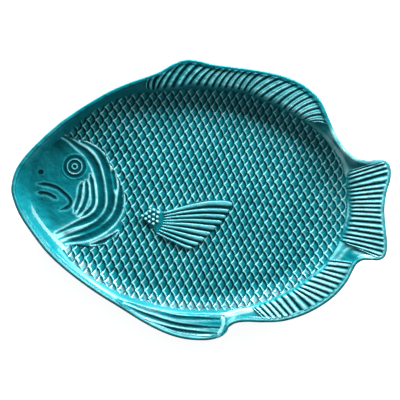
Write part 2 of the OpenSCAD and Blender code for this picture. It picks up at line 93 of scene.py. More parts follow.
# The edge of the scales: along the side wall from the nape round to the throat, then up the gill folds
FIELD_WALL = (
    (70, 131), (82, 119), (98, 107.5), (117, 98), (136, 92.5), (152, 91.5), (172, 90), (192, 88.5), (212, 89),
    (232, 90.5), (250, 94.5), (268, 102), (285, 109.5), (300, 118), (313, 127), (324, 137), (334, 149), (342, 162),
    (346, 177), (348, 193), (347.5, 208), (346, 222), (342, 237), (336, 250), (326, 264), (312, 277), (297, 288),
    (279, 297.5), (260, 304.5), (242, 309), (222, 311.5), (200, 312), (178, 310.5), (157, 306.5), (138, 301),
    (118, 294), (99, 284), (82, 272.5), (68, 259), (60, 247))
FIELD_GILL = (
    (76, 244.8), (91, 247), (105, 244.3), (116, 237), (122.5, 226), (125.2, 213), (125.6, 200), (123.5, 187),
    (117.5, 174), (110.5, 165), (106.5, 155), (99, 147), (89, 141.5), (76, 139), (68, 136.5))
# Where the face begins to rise from the side wall, from the nape round the snout to the throat
HEAD_WALL = (
    (64, 132), (52, 142), (40, 154), (31, 167), (27, 180), (27, 192), (30, 206), (39, 222), (51, 236), (63, 246))

# The grooves of the mouth, the cheek and the gill folds
MOUTH = (
    ((37, 184), (47, 185), (57, 188.5), (64.5, 194.5), (69, 199.5), (70, 203.5), (67, 207.5), (60, 210)),
    ((37, 193), (45, 193.5), (51, 196), (56, 199)))
CHEEK = (
    ((81.5, 183), (79.6, 190), (78.8, 196.7), (77, 203.3), (74, 212)),
    ((85.8, 181), (86.2, 188.3), (86.3, 195), (84.6, 202.5), (81.4, 209.2), (77.3, 215)),
    ((90, 175), (91.6, 184.2), (92.3, 190), (93, 196.7), (92.8, 203.3), (90, 209.2), (85.5, 213.6), (81, 217)),
    ((111.7, 170), (113.3, 176.7), (114.6, 184.2), (115, 190.8)))
GILLS = (
    ((61, 135), (68, 139), (75.8, 145), (84, 151), (90, 157.5), (94.3, 164.3), (97.2, 171.5), (99.2, 179),
     (100.7, 187), (101.4, 198.5), (100.6, 206.5), (96.8, 214), (90.5, 218.8), (83, 222), (73.8, 225.5), (64, 230),
     (56, 233.5)),
    ((81, 141.5), (89, 145.5), (96, 150.5), (101.2, 157), (104.6, 164.5), (106.8, 172), (108.3, 180), (109.6, 189),
     (110.6, 197), (110.4, 204.5), (108.2, 211.5), (103.6, 218), (97.5, 224), (90, 228.6), (82, 232), (73.5, 234.3),
     (66, 236.7), (57, 240)),
    ((118.3, 177), (120, 186.7), (120.3, 195), (119.6, 203.3), (117.5, 211.5), (112.8, 219.5), (106.5, 226),
     (99.5, 231), (92, 234.8), (84, 237.6), (76, 239.7), (66, 242), (59, 244)),
    ((117, 232), (112, 236.8), (105, 240.8), (98, 243.3), (91, 244.5)))
# Half the width of the groove of each gill fold, in pixels
GILL_WIDTHS = (4.3, 4.4, 4.2, 2.4)

# The grooves of the fins: their foot at the side wall, and their end at the lip
DORSAL = (
    (148, 88.5, 151, 81), (153.5, 89, 158.5, 80.5), (157, 88, 172, 66), (165, 86.5, 181, 63.5), (173, 86, 190.5, 61.5),
    (182, 85, 200, 63), (190, 83, 208, 65), (198, 84, 214.5, 66), (206, 84.5, 220.5, 67), (213, 86, 227, 68),
    (219.5, 86, 233, 69), (226, 86.5, 239.5, 70), (232.5, 87, 246, 71), (239, 88.5, 252.5, 72), (245, 89.5, 259.5, 73),
    (249.5, 91, 271, 75.5), (256, 93.5, 281, 77.5), (262, 96, 291, 79), (270, 100, 299, 82), (279, 103, 304, 86),
    (285, 107.5, 310, 90), (290, 110, 315, 94.5), (296, 112, 319, 100), (301, 115.5, 323, 107), (304, 119, 327, 113),
    (311, 121.5, 329, 122))
TAIL = (
    (352, 171, 378, 162.5), (351, 175, 383, 164), (351, 178.5, 389, 168), (351, 184, 389, 173),
    (351.5, 188.5, 388, 182), (351.5, 192, 385, 188), (352, 196, 384, 193), (352, 200.5, 384, 198.5),
    (353, 204, 383, 204), (353, 208, 383, 208), (353, 211.5, 383, 213), (353, 216, 383, 218), (351, 221, 384, 223.5),
    (350.5, 226, 384, 229.5), (349, 230, 384, 236), (347, 235, 385, 241), (345, 238, 385, 247), (344, 242, 384, 252),
    (352, 246, 381, 257))
ANAL = (
    (330, 261, 346, 261), (328, 266, 347, 267), (325, 270, 346, 275), (321, 273, 345.5, 281), (315, 277, 342, 286),
    (310, 281, 338, 291), (305, 285, 333, 296), (301, 288, 327, 300), (297, 290, 320, 304.5), (294, 292, 313, 309),
    (288, 295, 303, 312.5), (282, 297.5, 296, 315), (276, 301, 290, 316), (270, 303, 284, 318), (265, 304.5, 278, 319),
    (260, 307, 272, 319.5), (255, 308.5, 265, 317.5))

# The belly fin: its outline, its grooves, the bend that closes them and the crest along the side wall
PELVIC = (
    (116, 298.5), (130, 302), (150, 308), (170, 311), (190, 313), (220, 313.5), (227, 320), (227, 330), (219, 337),
    (203, 339), (185, 337), (166, 332), (146, 322), (128, 311), (116, 303))
PELVIC_GROOVES = (
    ((126, 301.5), (142, 307.5), (155, 311.5), (168, 315.5), (180, 318), (200, 319), (219, 319.5)),
    ((124, 305), (143, 314), (160, 320), (175, 324.3), (190, 326.6), (204, 327.6), (219, 328)),
    ((131, 312.5), (141, 319), (155, 325), (170, 329), (185, 331.7), (200, 333.2), (217, 333.8)),
    ((150, 326), (165, 331.5), (180, 335), (195, 336.8), (208, 337)))
PELVIC_BEND = ((222, 316), (223, 322), (222, 328), (217, 337))
PELVIC_CREST = (
    (116, 298), (130, 301), (145, 305.5), (158, 308.6), (170, 311), (185, 312.3), (200, 313), (214, 313.6), (224, 315))
# Half the width of each groove in pixels, and how thick the glaze lies in it
PELVIC_WIDTHS = (2.6, 2.3, 2.3, 1.8)
PELVIC_BEDS = (0.66, 0.72, 0.7, 0.55)

EYE = (74.1, 166.5)
NOSTRIL = ((39.6, 172), (40.4, 172))

# The side fin: its outline, its ridges from the back to the belly side, and the beads at its root
PECTORAL = (
    (141, 216.5), (147, 211), (153.5, 207.5), (160, 210.5), (166, 210.5), (180, 206), (195, 201), (210, 199),
    (222, 199), (231, 200.8), (233, 205), (229.5, 212), (225.5, 218.5), (221.5, 224), (215.5, 230), (209.5, 236),
    (203.5, 241.5), (197.5, 246.5), (189, 250.5), (180, 247), (168, 241), (155.5, 234.5), (150, 227.5), (144.5, 221.5))
PECTORAL_RIDGES = (
    ((164, 213.3), (173.3, 210.7), (184.2, 208), (195, 205.6), (205, 204), (213.3, 203.3), (221.7, 203.4),
     (230.5, 204.2)),
    ((164.5, 215.9), (173.3, 214.2), (184.2, 212.3), (195, 211), (205, 210.4), (213.3, 210.4), (221.7, 210.8),
     (229, 211.6)),
    ((164.5, 218.3), (173.3, 217.3), (184.2, 216.5), (195, 216), (205, 215.8), (213.3, 216.2), (225, 217)),
    ((164, 220.9), (173.3, 220.7), (184.2, 220.4), (195, 220.6), (205, 221.3), (213.3, 222.1), (221, 222.7)),
    ((163.3, 223.3), (173.3, 224), (184.2, 224.6), (195, 225.7), (205, 227.1), (215.4, 228.3)),
    ((162.5, 225.8), (173.3, 227.7), (184.2, 229.6), (195, 231.7), (205, 233.8), (210.4, 234.8)),
    ((161.3, 228.4), (170, 230.8), (180, 233.8), (190, 236.7), (204, 240)),
    ((159.2, 230.8), (167.5, 234.2), (177.5, 238.3), (188.3, 242.1), (198, 244.8)),
    ((156.7, 233.3), (165.8, 237.9), (175.8, 242.5), (184.2, 246.4), (191.5, 248.6)))
# Half the width of each ridge at its tip, in pixels
PECTORAL_WIDTHS = (3.2, 2.3, 2.3, 2.4, 2.8, 2.7, 2.7, 2.2, 1.9)
BEADS = (
    (142, 216), (146, 214), (149.5, 211.5), (153.5, 210), (158, 212.5), (149, 217), (153.5, 215), (157, 217),
    (145.5, 219), (153, 219.5), (149, 222), (157, 221.5), (153, 224))

# Hollows in the smooth corners between the fins: their middles, and their reach in pixels
HOLLOWS = (((357, 253), 11), ((352, 164), 9), ((237, 316), 9))

# Painted light and shade, as glaze that lies thicker or thinner on the face, on the scales and on the smooth parts of
# the
# dish: the middle of each spot or the path of each streak, its reach in pixels, and how much more there is: more is
# painted shade, less is painted light
# Painted shade on the brow and the snout, painted highlights below the mouth and over the ends of the gill folds
FACE_PAINTED_LIGHT = (
    ((60, 139), 14, 0.2), ((40, 148), 9, -0.16), ((28, 176), 9, 0.1), ((45, 222), 12, -0.12), ((47, 163), 9, -0.07),
    ((64, 186), 7, 0.06), ((129, 212), 6, -0.3), ((68, 236), 15, -0.5), ((52, 240), 9, -0.2), ((90, 228), 15, -0.35))
# Painted light on the right of the scales, painted shade at their upper left
SCALE_PAINTED_LIGHT = (((338, 200), 24, -0.08), ((118, 150), 28, 0.08), ((92, 126), 18, 0.08))
# Painted highlights on the upper left wall, along the belly's crest and in the corners by the tail and the belly fin,
# painted light on the wall between the back fin and the tail where it lies in shade, and one streak of painted shade in
# the tail's corner
DISH_PAINTED_LIGHT = (
    (((27, 163), (42, 144), (57, 128), (72, 113)), 4.5, -0.15),
    (((58, 250), (72, 264.5), (87, 277.5), (102, 288.7), (115, 297.5)), 1.6, -0.25),
    ((333, 135), 8, -0.34), ((343, 151), 8, -0.34), ((354, 159), 6, -0.25),
    (((344, 252), (349, 247.5), (355, 247)), 1.8, -0.35), (((354, 252), (362, 254), (372, 258)), 2, -0.4),
    (((335, 263), (342, 255)), 2, -0.35), (((349, 256), (358, 260)), 2.5, 0.16),
    (((226, 316), (233, 315), (243, 312.5), (256, 309.5)), 2, -0.4), (((228, 322), (234, 318)), 1.6, -0.3))


class Slot(Enum):
    """The material slots."""

    GLAZE = "glaze"
    CLAY = "bare_clay"


def smooth_curve(points: Array | tuple, steps: int, closed: bool = False) -> Array:
    """A smooth curve through given points, as whole arrays.

    Each stretch between two points is a cubic whose ends lean along the line between their neighbours.

    Args:
        points: the points, of any dimension.
        steps: pieces in each stretch.
        closed: whether the curve returns to its start.

    Returns:
        The points of the curve. A closed one doesn't repeat its start.
    """
    p = np.asarray(points, float)
    if closed:
        a, b, c, d = np.roll(p, 1, 0), p, np.roll(p, -1, 0), np.roll(p, -2, 0)
    else:
        q = np.vstack([2 * p[:1] - p[1:2], p, 2 * p[-1:] - p[-2:-1]])
        a, b, c, d = q[:-3], q[1:-2], q[2:-1], q[3:]
    t = (np.arange(steps) / steps)[None, :, None]
    a, b, c, d = (v[:, None, :] for v in (a, b, c, d))
    curve = (2 * b + (c - a) * t + (2 * a - 5 * b + 4 * c - d) * t**2 + (3 * b - a - 3 * c + d) * t**3) / 2
    curve = curve.reshape(-1, p.shape[1])
    return curve if closed else np.vstack([curve, p[-1:]])


def evenly(curve: Array, count: int) -> Array:
    """A closed curve again, as points at equal steps of its length.

    Args:
        curve: points of the curve, which don't repeat its start.
        count: how many points to return.

    Returns:
        The points, from the curve's start.
    """
    path = np.vstack([curve, curve[:1]])
    run = np.concatenate([[0], np.cumsum(np.linalg.norm(np.diff(path, axis=0), axis=1))])
    steps = np.linspace(0, run[-1], count, endpoint=False)
    return np.stack([np.interp(steps, run, path[:, k]) for k in (0, 1)], 1)


def ease(t: Array) -> Array:
    """0 below 0, 1 above 1, and a smooth step between."""
    t = np.clip(t, 0, 1)
    return t * t * (3 - 2 * t)


def bump(t: Array) -> Array:
    """A bell of height 1 at 0 that has died away at 2."""
    return np.exp(-1.4 * t * t)


def soft_least(a: Array, b: Array, blend: float) -> Array:
    """The lesser of two surfaces, rounded over where they cross within blend of each other."""
    h = np.clip(1 - np.abs(a - b) / blend, 0, 1)
    return np.minimum(a, b) - blend * h * h / 4


def nearest(path: Array, at: Array, chunk: int = 4000) -> tuple[Array, Array]:
    """How far points lie from a path, and where along it the nearest place is.

    Each point is dropped onto every straight stretch of the path, and the closest foot is kept.

    Args:
        path: the points of the path.
        at: the points.
        chunk: how many points are taken at a time.

    Returns:
        For each point its distance, and the share of the path's length from 0 to 1.
    """
    flat = at.reshape(-1, 2)
    start, run = path[:-1], np.diff(path, axis=0)
    length = np.maximum(np.linalg.norm(run, axis=1), 1e-12)
    before = np.concatenate([[0], np.cumsum(length)])
    far, share = np.empty(len(flat)), np.empty(len(flat))
    for first in range(0, len(flat), chunk):
        to = flat[first:first + chunk, None, :] - start[None]
        t = np.clip((to * run[None]).sum(2) / length**2, 0, 1)
        gap = ((to - t[..., None] * run[None]) ** 2).sum(2)
        k = gap.argmin(1)
        rows = np.arange(len(k))
        far[first:first + chunk] = np.sqrt(gap[rows, k])
        share[first:first + chunk] = (before[k] + t[rows, k] * length[k]) / before[-1]
    return far.reshape(at.shape[:-1]), share.reshape(at.shape[:-1])


def inside(polygon: Array, at: Array) -> Array:
    """Whether points lie in a polygon: an odd number of its sides cross the line to their right.

    Args:
        polygon: the polygon's corners.
        at: the points.

    Returns:
        True or false for each point.
    """
    ax, ay = polygon.T
    bx, by = np.roll(ax, -1), np.roll(ay, -1)
    px, py = at[..., :1], at[..., 1:]
    slope = (bx - ax) / np.where(by == ay, 1, by - ay)
    crossing = ((ay > py) != (by > py)) & (px < ax + (py - ay) * slope)
    return crossing.sum(-1) % 2 == 1


def depth_in(polygon: Array, at: Array) -> Array:
    """How far points lie inside a closed outline, less than zero outside it."""
    far = nearest(np.vstack([polygon, polygon[:1]]), at)[0]
    return np.where(inside(polygon, at), far, -far)


def sheet_faces(rows: int, columns: int, round_rows: bool = False, round_columns: bool = False) -> Array:
    """Four-sided faces of a grid whose points are numbered along its rows.

    Args:
        rows: how many rows of points.
        columns: how many points in a row.
        round_rows: whether the last row joins the first.
        round_columns: whether a row's last point joins its first.

    Returns:
        The faces as rows of four point numbers.
    """
    r = np.arange(rows if round_rows else rows - 1)[:, None]
    c = np.arange(columns if round_columns else columns - 1)[None, :]
    r2, c2 = (r + 1) % rows, (c + 1) % columns
    return np.stack([r * columns + c, r * columns + c2, r2 * columns + c2, r2 * columns + c], -1).reshape(-1, 4)


def dome_faces(rings: int, columns: int) -> list:
    """Faces of a closed solid of rings, from a point in the middle above to a point in the middle below.

    The points are numbered along the rings, which run to the left seen from above. The upper point comes next
    and the lower one last.

    Args:
        rings: how many rings there are.
        columns: how many points a ring has.

    Returns:
        Blocks of faces: the bands between the rings, and the fans round the two points.
    """
    count, first = rings * columns, np.arange(columns)
    last = first + count - columns
    return [sheet_faces(rings, columns, round_columns=True)[:, ::-1],
            np.stack([np.full(columns, count), first, np.roll(first, -1)], 1),
            np.stack([np.full(columns, count + 1), np.roll(last, -1), last], 1)]


def net(polygon: Array, spacing: float, margin: float) -> tuple:
    """A square net over a region.

    Args:
        polygon: the region's outline.
        spacing: the side of a square.
        margin: how far past the outline the net goes.

    Returns:
        The points as rows of two, and the squares as rows of four point numbers.
    """
    low, high = polygon.min(0) - margin, polygon.max(0) + margin
    grid = np.stack(np.meshgrid(*(np.arange(a, b, spacing) for a, b in zip(low, high))), -1)
    points, faces = grid.reshape(-1, 2), sheet_faces(*grid.shape[:2])
    keep = depth_in(polygon, points) > -margin
    faces = faces[keep[faces].all(1)]
    used, renumbered = np.unique(faces, return_inverse=True)
    return points[used], renumbered.reshape(-1, 4)


@dataclass(frozen=True)
class Photo:
    """Turns pixels of the photograph into places on the object, from its box in both."""

    low: tuple
    high: tuple

    def place(self, points: Array | tuple) -> Array:
        """Places in metres of points given in pixels.

        Args:
            points: one pair of numbers, or an array that ends in pairs.

        Returns:
            The places, in the same shape.
        """
        p = np.asarray(points, float)
        left, right, top, bottom = PHOTO_BOX
        x = self.low[0] + (p[..., 0] - left) / (right - left) * (self.high[0] - self.low[0])
        y = self.high[1] - (p[..., 1] - top) / (bottom - top) * (self.high[1] - self.low[1])
        return np.stack([x, y], -1)

    @property
    def pixel(self) -> float:
        """The side of a pixel on the object, in metres."""
        return (self.high[0] - self.low[0]) / (PHOTO_BOX[1] - PHOTO_BOX[0])

    @property
    def middle(self) -> Array:
        """The place that the photograph's middle shows."""
        return self.place((PHOTO_SIZE / 2, PHOTO_SIZE / 2))

    def far(self, pixel: tuple, at: Array) -> Array:
        """How far points lie from a pixel's place, in pixels."""
        return np.hypot(*np.moveaxis(at - self.place(pixel), -1, 0)) / self.pixel

    def patches(self, spots: tuple, at: Array) -> Array:
        """Painted light and shade at points, as how much more glaze lies there: the sum of bells over round spots and
        streaks.

        Args:
            spots: the middle of each spot, or the path of each streak, in pixels, its reach in pixels and how
                much more it has at most.
            at: the points.

        Returns:
            The sum at each point.
        """
        more = np.zeros(at.shape[:-1])
        for pixels, reach, most in spots:
            path = np.atleast_2d(self.place(pixels))
            more = more + most * bump(nearest(np.vstack([path, path[-1:]]), at)[0] / self.pixel / reach)
        return more


@dataclass
class Shell:
    """A mesh in the making: its points, its faces and how thick the glaze lies at each point, with painted light and
    shade.
    """

    points: Array
    faces: list
    glaze_and_light: Array

    @classmethod
    def sheet(cls, at: Array, faces: Array, top: Array, under: Array, glaze_and_light: Array) -> "Shell":
        """A closed solid between two heights over a sheet of four-sided faces.

        An edge that only one face runs along is on the rim, and gets a wall.

        Args:
            at: the sheet's points, of any shape that ends in pairs.
            faces: its faces, which look up.
            top: heights of the upper side.
            under: heights of the underside.
            glaze_and_light: the glaze at the points.

        Returns:
            The solid, whose faces look outward.
        """
        count = top.size
        edges = np.concatenate([faces[:, [k, (k + 1) % 4]] for k in range(4)])
        rim = edges[~np.isin(edges[:, 0] * count + edges[:, 1], edges[:, 1] * count + edges[:, 0])]
        walls = np.stack([rim[:, 1], rim[:, 0], rim[:, 0] + count, rim[:, 1] + count], 1)
        points = np.vstack([np.column_stack([at.reshape(-1, 2), z.ravel()]) for z in (top, under)])
        return cls(points, [faces, faces[:, ::-1] + count, walls], np.tile(glaze_and_light.ravel(), 2))

    def piece(self, name: str) -> bpy.types.Object:
        """Makes the Blender object, smooth all over.

        Args:
            name: the object's name.

        Returns:
            The object, at the origin.
        """
        mesh = bpy.data.meshes.new(name)
        mesh.from_pydata(self.points.tolist(), [], [row for block in self.faces for row in block.tolist()])
        attribute = mesh.attributes.new(GLAZE_AND_LIGHT_ATTRIBUTE, "FLOAT", "POINT")
        attribute.data.foreach_set("value", self.glaze_and_light.astype(np.float32))
        mesh.polygons.foreach_set("use_smooth", np.ones(len(mesh.polygons), bool))
        mesh.update()
        made = bpy.data.objects.new(name, mesh)
        bpy.context.scene.collection.objects.link(made)
        return made


class Part:
    """A piece of the platter, which builds its mesh and puts on its finish."""

    def build(self) -> bpy.types.Object:
        """The piece's mesh, in its place."""
        raise NotImplementedError

    def dress(self, node: str, slot: Slot, finishes: dict) -> None:
        """Builds the piece, puts on its finish and lets it stand for its node of the part.

        Args:
            node: the node that it stands for.
            slot: its material slot.
            finishes: the material of each slot.
        """
        piece = self.build()
        piece.data.materials.append(finishes[slot])
        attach(piece, BODY)
        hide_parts(node)
        LOG.info("%s: %d faces", piece.name, len(piece.data.polygons))


@dataclass
class Dish(Part):
    """The dish itself: flat floor, curved side wall, fins that rise to a rounded lip, and the underside."""

    photo: Photo
    low: tuple
    high: tuple
    wall: float = 5.5 * MM
    wall_run: float = 24 * MM
    fin_rise: float = 5 * MM
    # How steeply the fins' surface goes on down inside the side wall, where the crest is rounded over
    fin_slope: float = 0.12
    lip_width: float = 5 * MM
    lip_thick: float = 4.5 * MM
    lip_stand: float = 1.2 * MM
    foot_height: float = 3.5 * MM
    crest_round: float = 3.0 * MM
    hollow: float = 1.3 * MM
    # How far the underside's rings stay inside the lip's lower edge, and how much more with each ring
    tuck: float = 1.5 * MM
    tuck_step: float = 0.4 * MM
    # The middle from which bearings and reaches are counted
    hub: tuple = (-6.4 * MM, 0)
    # How many points a ring has, and how many rings lie over the floor, the wall and the fins
    outline_count: int = 900
    floor_levels: int = 5
    wall_levels: int = 16
    fin_levels: int = 14
    # The bead of the lip, from inside over the top and round the outside: shares of its width from the
    # outline and of its thickness from the top, and the glaze on the belly side and on the back, with painted light and
    # shade: on the belly side the top is paler and the outside darker
    bead: tuple = ((0.95, 0.21, 0.48, 0.6), (0.8, 0.13, 0.34, 0.6), (0.66, 0.045, 0.1, 0.4),
                   (0.52, 0.005, 0.24, 0.56), (0.4, 0, 0.36, 0.6), (0.28, 0.025, 0.38, 0.5), (0.17, 0.09, 0.44, 0.28),
                   (0.09, 0.2, 0.7, 0.3), (0.03, 0.36, 0.88, 0.55), (0, 0.5, 0.92, 0.8), (0.03, 0.68, 0.88, 0.88),
                   (0.12, 0.85, 0.8, 0.8), (0.27, 0.96, 0.7, 0.7), (0.45, 1, 0.6, 0.6))

    def __post_init__(self) -> None:
        """Works out the lip and the crest as loops, and their reach by bearing from the hub."""
        loop = smooth_curve(self.photo.place(LIP), 8, closed=True)
        least, most = loop.min(0), loop.max(0)
        low, high = np.array(self.low[:2]), np.array(self.high[:2])
        loop = low + (loop - least) / (most - least) * (high - low)
        self.lip = evenly(loop, self.outline_count)
        self.crest_table = self._polar(smooth_curve(self.photo.place(CREST), 8, closed=True))
        self.lip_table = self._polar(self.lip)
        self.lip_closed = np.vstack([self.lip, self.lip[:1]])
        self.top = self.high[2]
        self.floor = self.foot_height + self.wall
        self.fin_edge = self.top - self.lip_stand
        self.crest = self.fin_edge - self.fin_rise
        self.wall_rise = self.crest - self.floor

    def _polar(self, loop: Array) -> tuple:
        """Bearings and reaches of a loop's points from the hub, in order of bearing."""
        order = self.bearing(loop).argsort()
        return self.bearing(loop)[order], self.reach(loop)[order]

    def bearing(self, at: Array) -> Array:
        """The direction of points from the hub."""
        return np.arctan2(at[..., 1] - self.hub[1], at[..., 0] - self.hub[0])

    def reach(self, at: Array) -> Array:
        """How far points are from the hub."""
        return np.hypot(at[..., 0] - self.hub[0], at[..., 1] - self.hub[1])

    def crest_reach(self, angle: Array) -> Array:
        """How far the top of the side wall is from the hub along a bearing."""
        return np.interp(angle, *self.crest_table, period=2 * np.pi)

    def toward(self, angle: Array, far: Array) -> Array:
        """The points along a bearing at a distance from the hub."""
        return np.stack([self.hub[0] + far * np.cos(angle), self.hub[1] + far * np.sin(angle)], -1)

    def on_lip(self, at: Array, share: float) -> Array:
        """Points moved along their bearings to inside the outline, by a share of the lip's width."""
        angle = self.bearing(at)
        return self.toward(angle, np.interp(angle, *self.lip_table, period=2 * np.pi) - share * self.lip_width)

    def height(self, at: Array) -> Array:
        """The height of the bare dish.

        The floor is flat. The side wall is a parabola. Past its top the surface rises by the share of the
        way to the lip: the distance from the crest over the sum of the distances from crest and lip. The
        crest between them is rounded over. Inside lip_width of the outline the lip stands up as a bead.

        Args:
            at: the points.

        Returns:
            The height at each point.
        """
        past = self.reach(at) - self.crest_reach(self.bearing(at))
        # The distance from the outline matters only from 6 mm inside the crest on
        near = past > -6 * MM
        gap = np.full(past.shape, 1.0)
        gap[near] = nearest(self.lip_closed, at[near])[0]
        wall = self.floor + self.wall_rise * np.clip(1 + past / self.wall_run, 0, 1.6)**2
        out = np.maximum(past, 0)
        fin = self.crest + self.fin_rise * out / (out + gap + 1e-6) + self.fin_slope * np.clip(past, -20 * MM, 0)
        ground = soft_least(wall, fin, self.crest_round)
        for pixel, reach in HOLLOWS:
            ground = ground - self.hollow * bump(self.photo.far(pixel, at) / reach)
        bead = self.fin_edge + self.lip_stand * (1 - ease(gap / self.lip_width * 1.5 - 0.5))
        return np.where(gap < self.lip_width, np.maximum(ground, np.minimum(bead, self.top)), ground)

    def inside_rings(self, angle: Array, crest: Array, inner: Array) -> list:
        """Rings from the middle over the floor, up the side wall and across the fins.

        Painted light makes the glaze paler on the belly's wall, along its crest and on the fins beside it, on the
        tail's wall and the fins beside it, and in a painted highlight streak at the throat. Each of these fades in over
        a part of the turn, as a power of the cosine of the bearing from its middle.

        Args:
            angle: the bearings of a ring's points.
            crest: how far the top of the side wall is from the hub along them.
            inner: the ring just inside the lip.

        Returns:
            For each ring its places, its heights and its glaze.
        """
        belly, tail, throat = (np.clip(np.cos(angle + turn), 0, 1)**power
                               for turn, power in ((1.9, 1.5), (0, 3), (2.62, 14)))
        # thin is painted light: the belly's wall and fins paler as if lit
        thin = 0.16 * belly
        rings = [(self.toward(angle, (crest - self.wall_run) * share), 0.5)
                 for share in np.linspace(0.06, 1, self.floor_levels, endpoint=False)]
        # Painted light on the belly's wall and crest and on the tail's wall, and a painted highlight streak at the
        # throat
        rings += [(self.toward(angle, crest - self.wall_run * (1 - t)),
                   0.52 - thin * t - 0.42 * tail * ease((t - 0.55) / 0.3) - 0.28 * throat * bump((t - 0.5) / 0.3)
                   - 0.3 * belly * ease((t - 0.9) / 0.1)) for t in np.linspace(0, 1, self.wall_levels)]
        top = rings[-1][0]
        # Painted light on the fins by the belly and the tail
        rings += [(top + (inner - top) * ease(share),
                   0.43 - 0.6 * thin - 0.2 * np.maximum(belly, tail) * (1 - ease(share / 0.4))
                   - 0.2 * belly * (1 - ease(share / 0.25))) for share in np.linspace(0, 1, self.fin_levels + 2)[1:]]
        return [(ring, self.height(ring), glaze_and_light) for ring, glaze_and_light in rings]

    def under_rings(self, angle: Array, crest: Array, rim: Array) -> list:
        """Rings from the lip's lower edge in to the middle of the underside.

        The underside keeps the thickness of the clay, square to the wall: at a slope s it lies lower by the
        thickness over the root of 1 + s squared, and further out by s times that. It stays inside the rim.

        Args:
            angle: the bearings of a ring's points.
            crest: how far the top of the side wall is from the hub along them.
            rim: the last ring of the lip.

        Returns:
            For each ring its places, its height and its glaze.
        """
        t = np.linspace(1, 0, self.wall_levels)
        slope = 2 * self.wall_rise * t / self.wall_run
        drop = self.wall / np.sqrt(1 + slope**2)
        limit = self.reach(rim) - self.tuck
        first = self.toward(angle, np.minimum(crest + drop[0] * slope[0], limit))
        rings = [(rim + (first - rim) * share,
                  (self.top - self.lip_thick) * (1 - share) + (self.crest - drop[0]) * share, 0.5)
                 for share in (0.25, 0.5, 0.75)]
        rings += [(self.toward(angle, np.minimum(crest - self.wall_run * (1 - t[k]) + drop[k] * slope[k],
                                                 limit - self.tuck_step * k)),
                   self.floor + self.wall_rise * t[k]**2 - drop[k], 0.5) for k in range(self.wall_levels)]
        return rings + [(self.toward(angle, (crest - self.wall_run) * share), self.foot_height, 0.5)
                        for share in (0.8, 0.45, 0.06)]

    def build(self) -> bpy.types.Object:
        """The dish as one closed solid of rings, from the middle over the lip to the middle below.

        Returns:
            The piece.
        """
        run = np.roll(self.lip, -1, 0) - np.roll(self.lip, 1, 0)
        inward = np.stack([-run[:, 1], run[:, 0]], 1) / np.linalg.norm(run, axis=1, keepdims=True) * self.lip_width
        inner = self.lip + inward * 1.2
        angle = np.unwrap(self.bearing(inner))
        # The crest stays inside the lip, so that no two rings meet
        crest = np.minimum(self.crest_reach(angle), self.reach(inner) - 0.3 * MM)
        back = np.clip(1.4 * np.cos(angle - 1.9), 0, 1)
        rings = self.inside_rings(angle, crest, inner)
        # Painted light and shade on the bead: it turns from the belly side's paler top and darker outside to the back's
        rings += [(self.lip + inward * share, self.top - self.lip_thick * drop, glaze_and_light + (behind - glaze_and_light) * back)
                  for share, drop, glaze_and_light, behind in self.bead]
        rings += self.under_rings(angle, crest, rings[-1][0])
        at = np.concatenate([ring for ring, _, _ in rings])
        z, glaze_and_light = (np.concatenate([np.broadcast_to(ring[k], angle.shape) for ring in rings]) for k in (1, 2))
        # Painted light and shade on the walls and in the corners between the fins
        glaze_and_light = np.clip(glaze_and_light + self.photo.patches(DISH_PAINTED_LIGHT, at), 0, 1)
        points = np.vstack([np.column_stack([at, z]), (*self.hub, self.floor), (*self.hub, self.foot_height)])
        return Shell(points, dome_faces(len(rings), len(angle)), np.append(glaze_and_light, (0.5, 0.5))).piece("dish")


@dataclass(frozen=True)
class Line:
    """A groove pressed into the clay or a ridge raised on it, along a path in pixels of the photograph."""

    path: tuple
    half_width: float
    size: float = 1.3 * MM
    # The share of the length over which the ends narrow, and the share of the width that is left there
    taper: float = 0.12
    blunt: float = 0.4
    # How thick the glaze lies in a groove, and how much it thins on its shoulders
    deep: float = 0.85
    shoulder: float = 1.0
    # The share of the width at the start, and the power of the section
    root: float = 1.0
    power: float = 2.0

    def shape(self, photo: Photo, at: Array) -> tuple:
        """How strong the line is at points, from 0 off it to 1 along its middle, and how near its shoulders are.

        The section is one less a power of the distance over the half width: a parabola for a power of 2, and
        flatter on top for more. The half width grows from the share root at the start. Toward both ends the
        line narrows, to the share blunt. The shoulder is a bell just outside the half width.

        Args:
            photo: turns the path into metres.
            at: the points.

        Returns:
            The strength and the shoulder at each point.
        """
        far, share = nearest(smooth_curve(photo.place(self.path), 6), at)
        end = ease(np.minimum(share, 1 - share) / self.taper)
        end = self.blunt + (1 - self.blunt) * end
        half = self.half_width * photo.pixel * (self.root + (1 - self.root) * share) * end
        strength = np.clip(1 - (far / half)**self.power, 0, 1) * end
        return strength, bump((far - half - 0.6 * photo.pixel) / (1.3 * photo.pixel))


def strongest(lines: tuple, photo: Photo, at: Array) -> tuple:
    """Several lines at points: their greatest size, strength and bed of glaze, and how near shoulders are.

    The shoulders of lines that run close together add up to one pale ridge.

    Args:
        lines: the lines.
        photo: turns their paths into metres.
        at: the points.

    Returns:
        The size in metres, the strength, the bed and the shoulder at each point.
    """
    shapes = [line.shape(photo, at) for line in lines]
    strengths = [s for s, _ in shapes]
    size = np.max([line.size * s for line, s in zip(lines, strengths)], 0)
    strength = np.max(strengths, 0)
    deep = np.choose(np.argmax(strengths, 0), [line.deep for line in lines])
    shoulder = np.minimum(np.sum([line.shoulder * e for line, (_, e) in zip(lines, shapes)], 0), 1)
    return size, strength, deep, shoulder * (1 - strength)


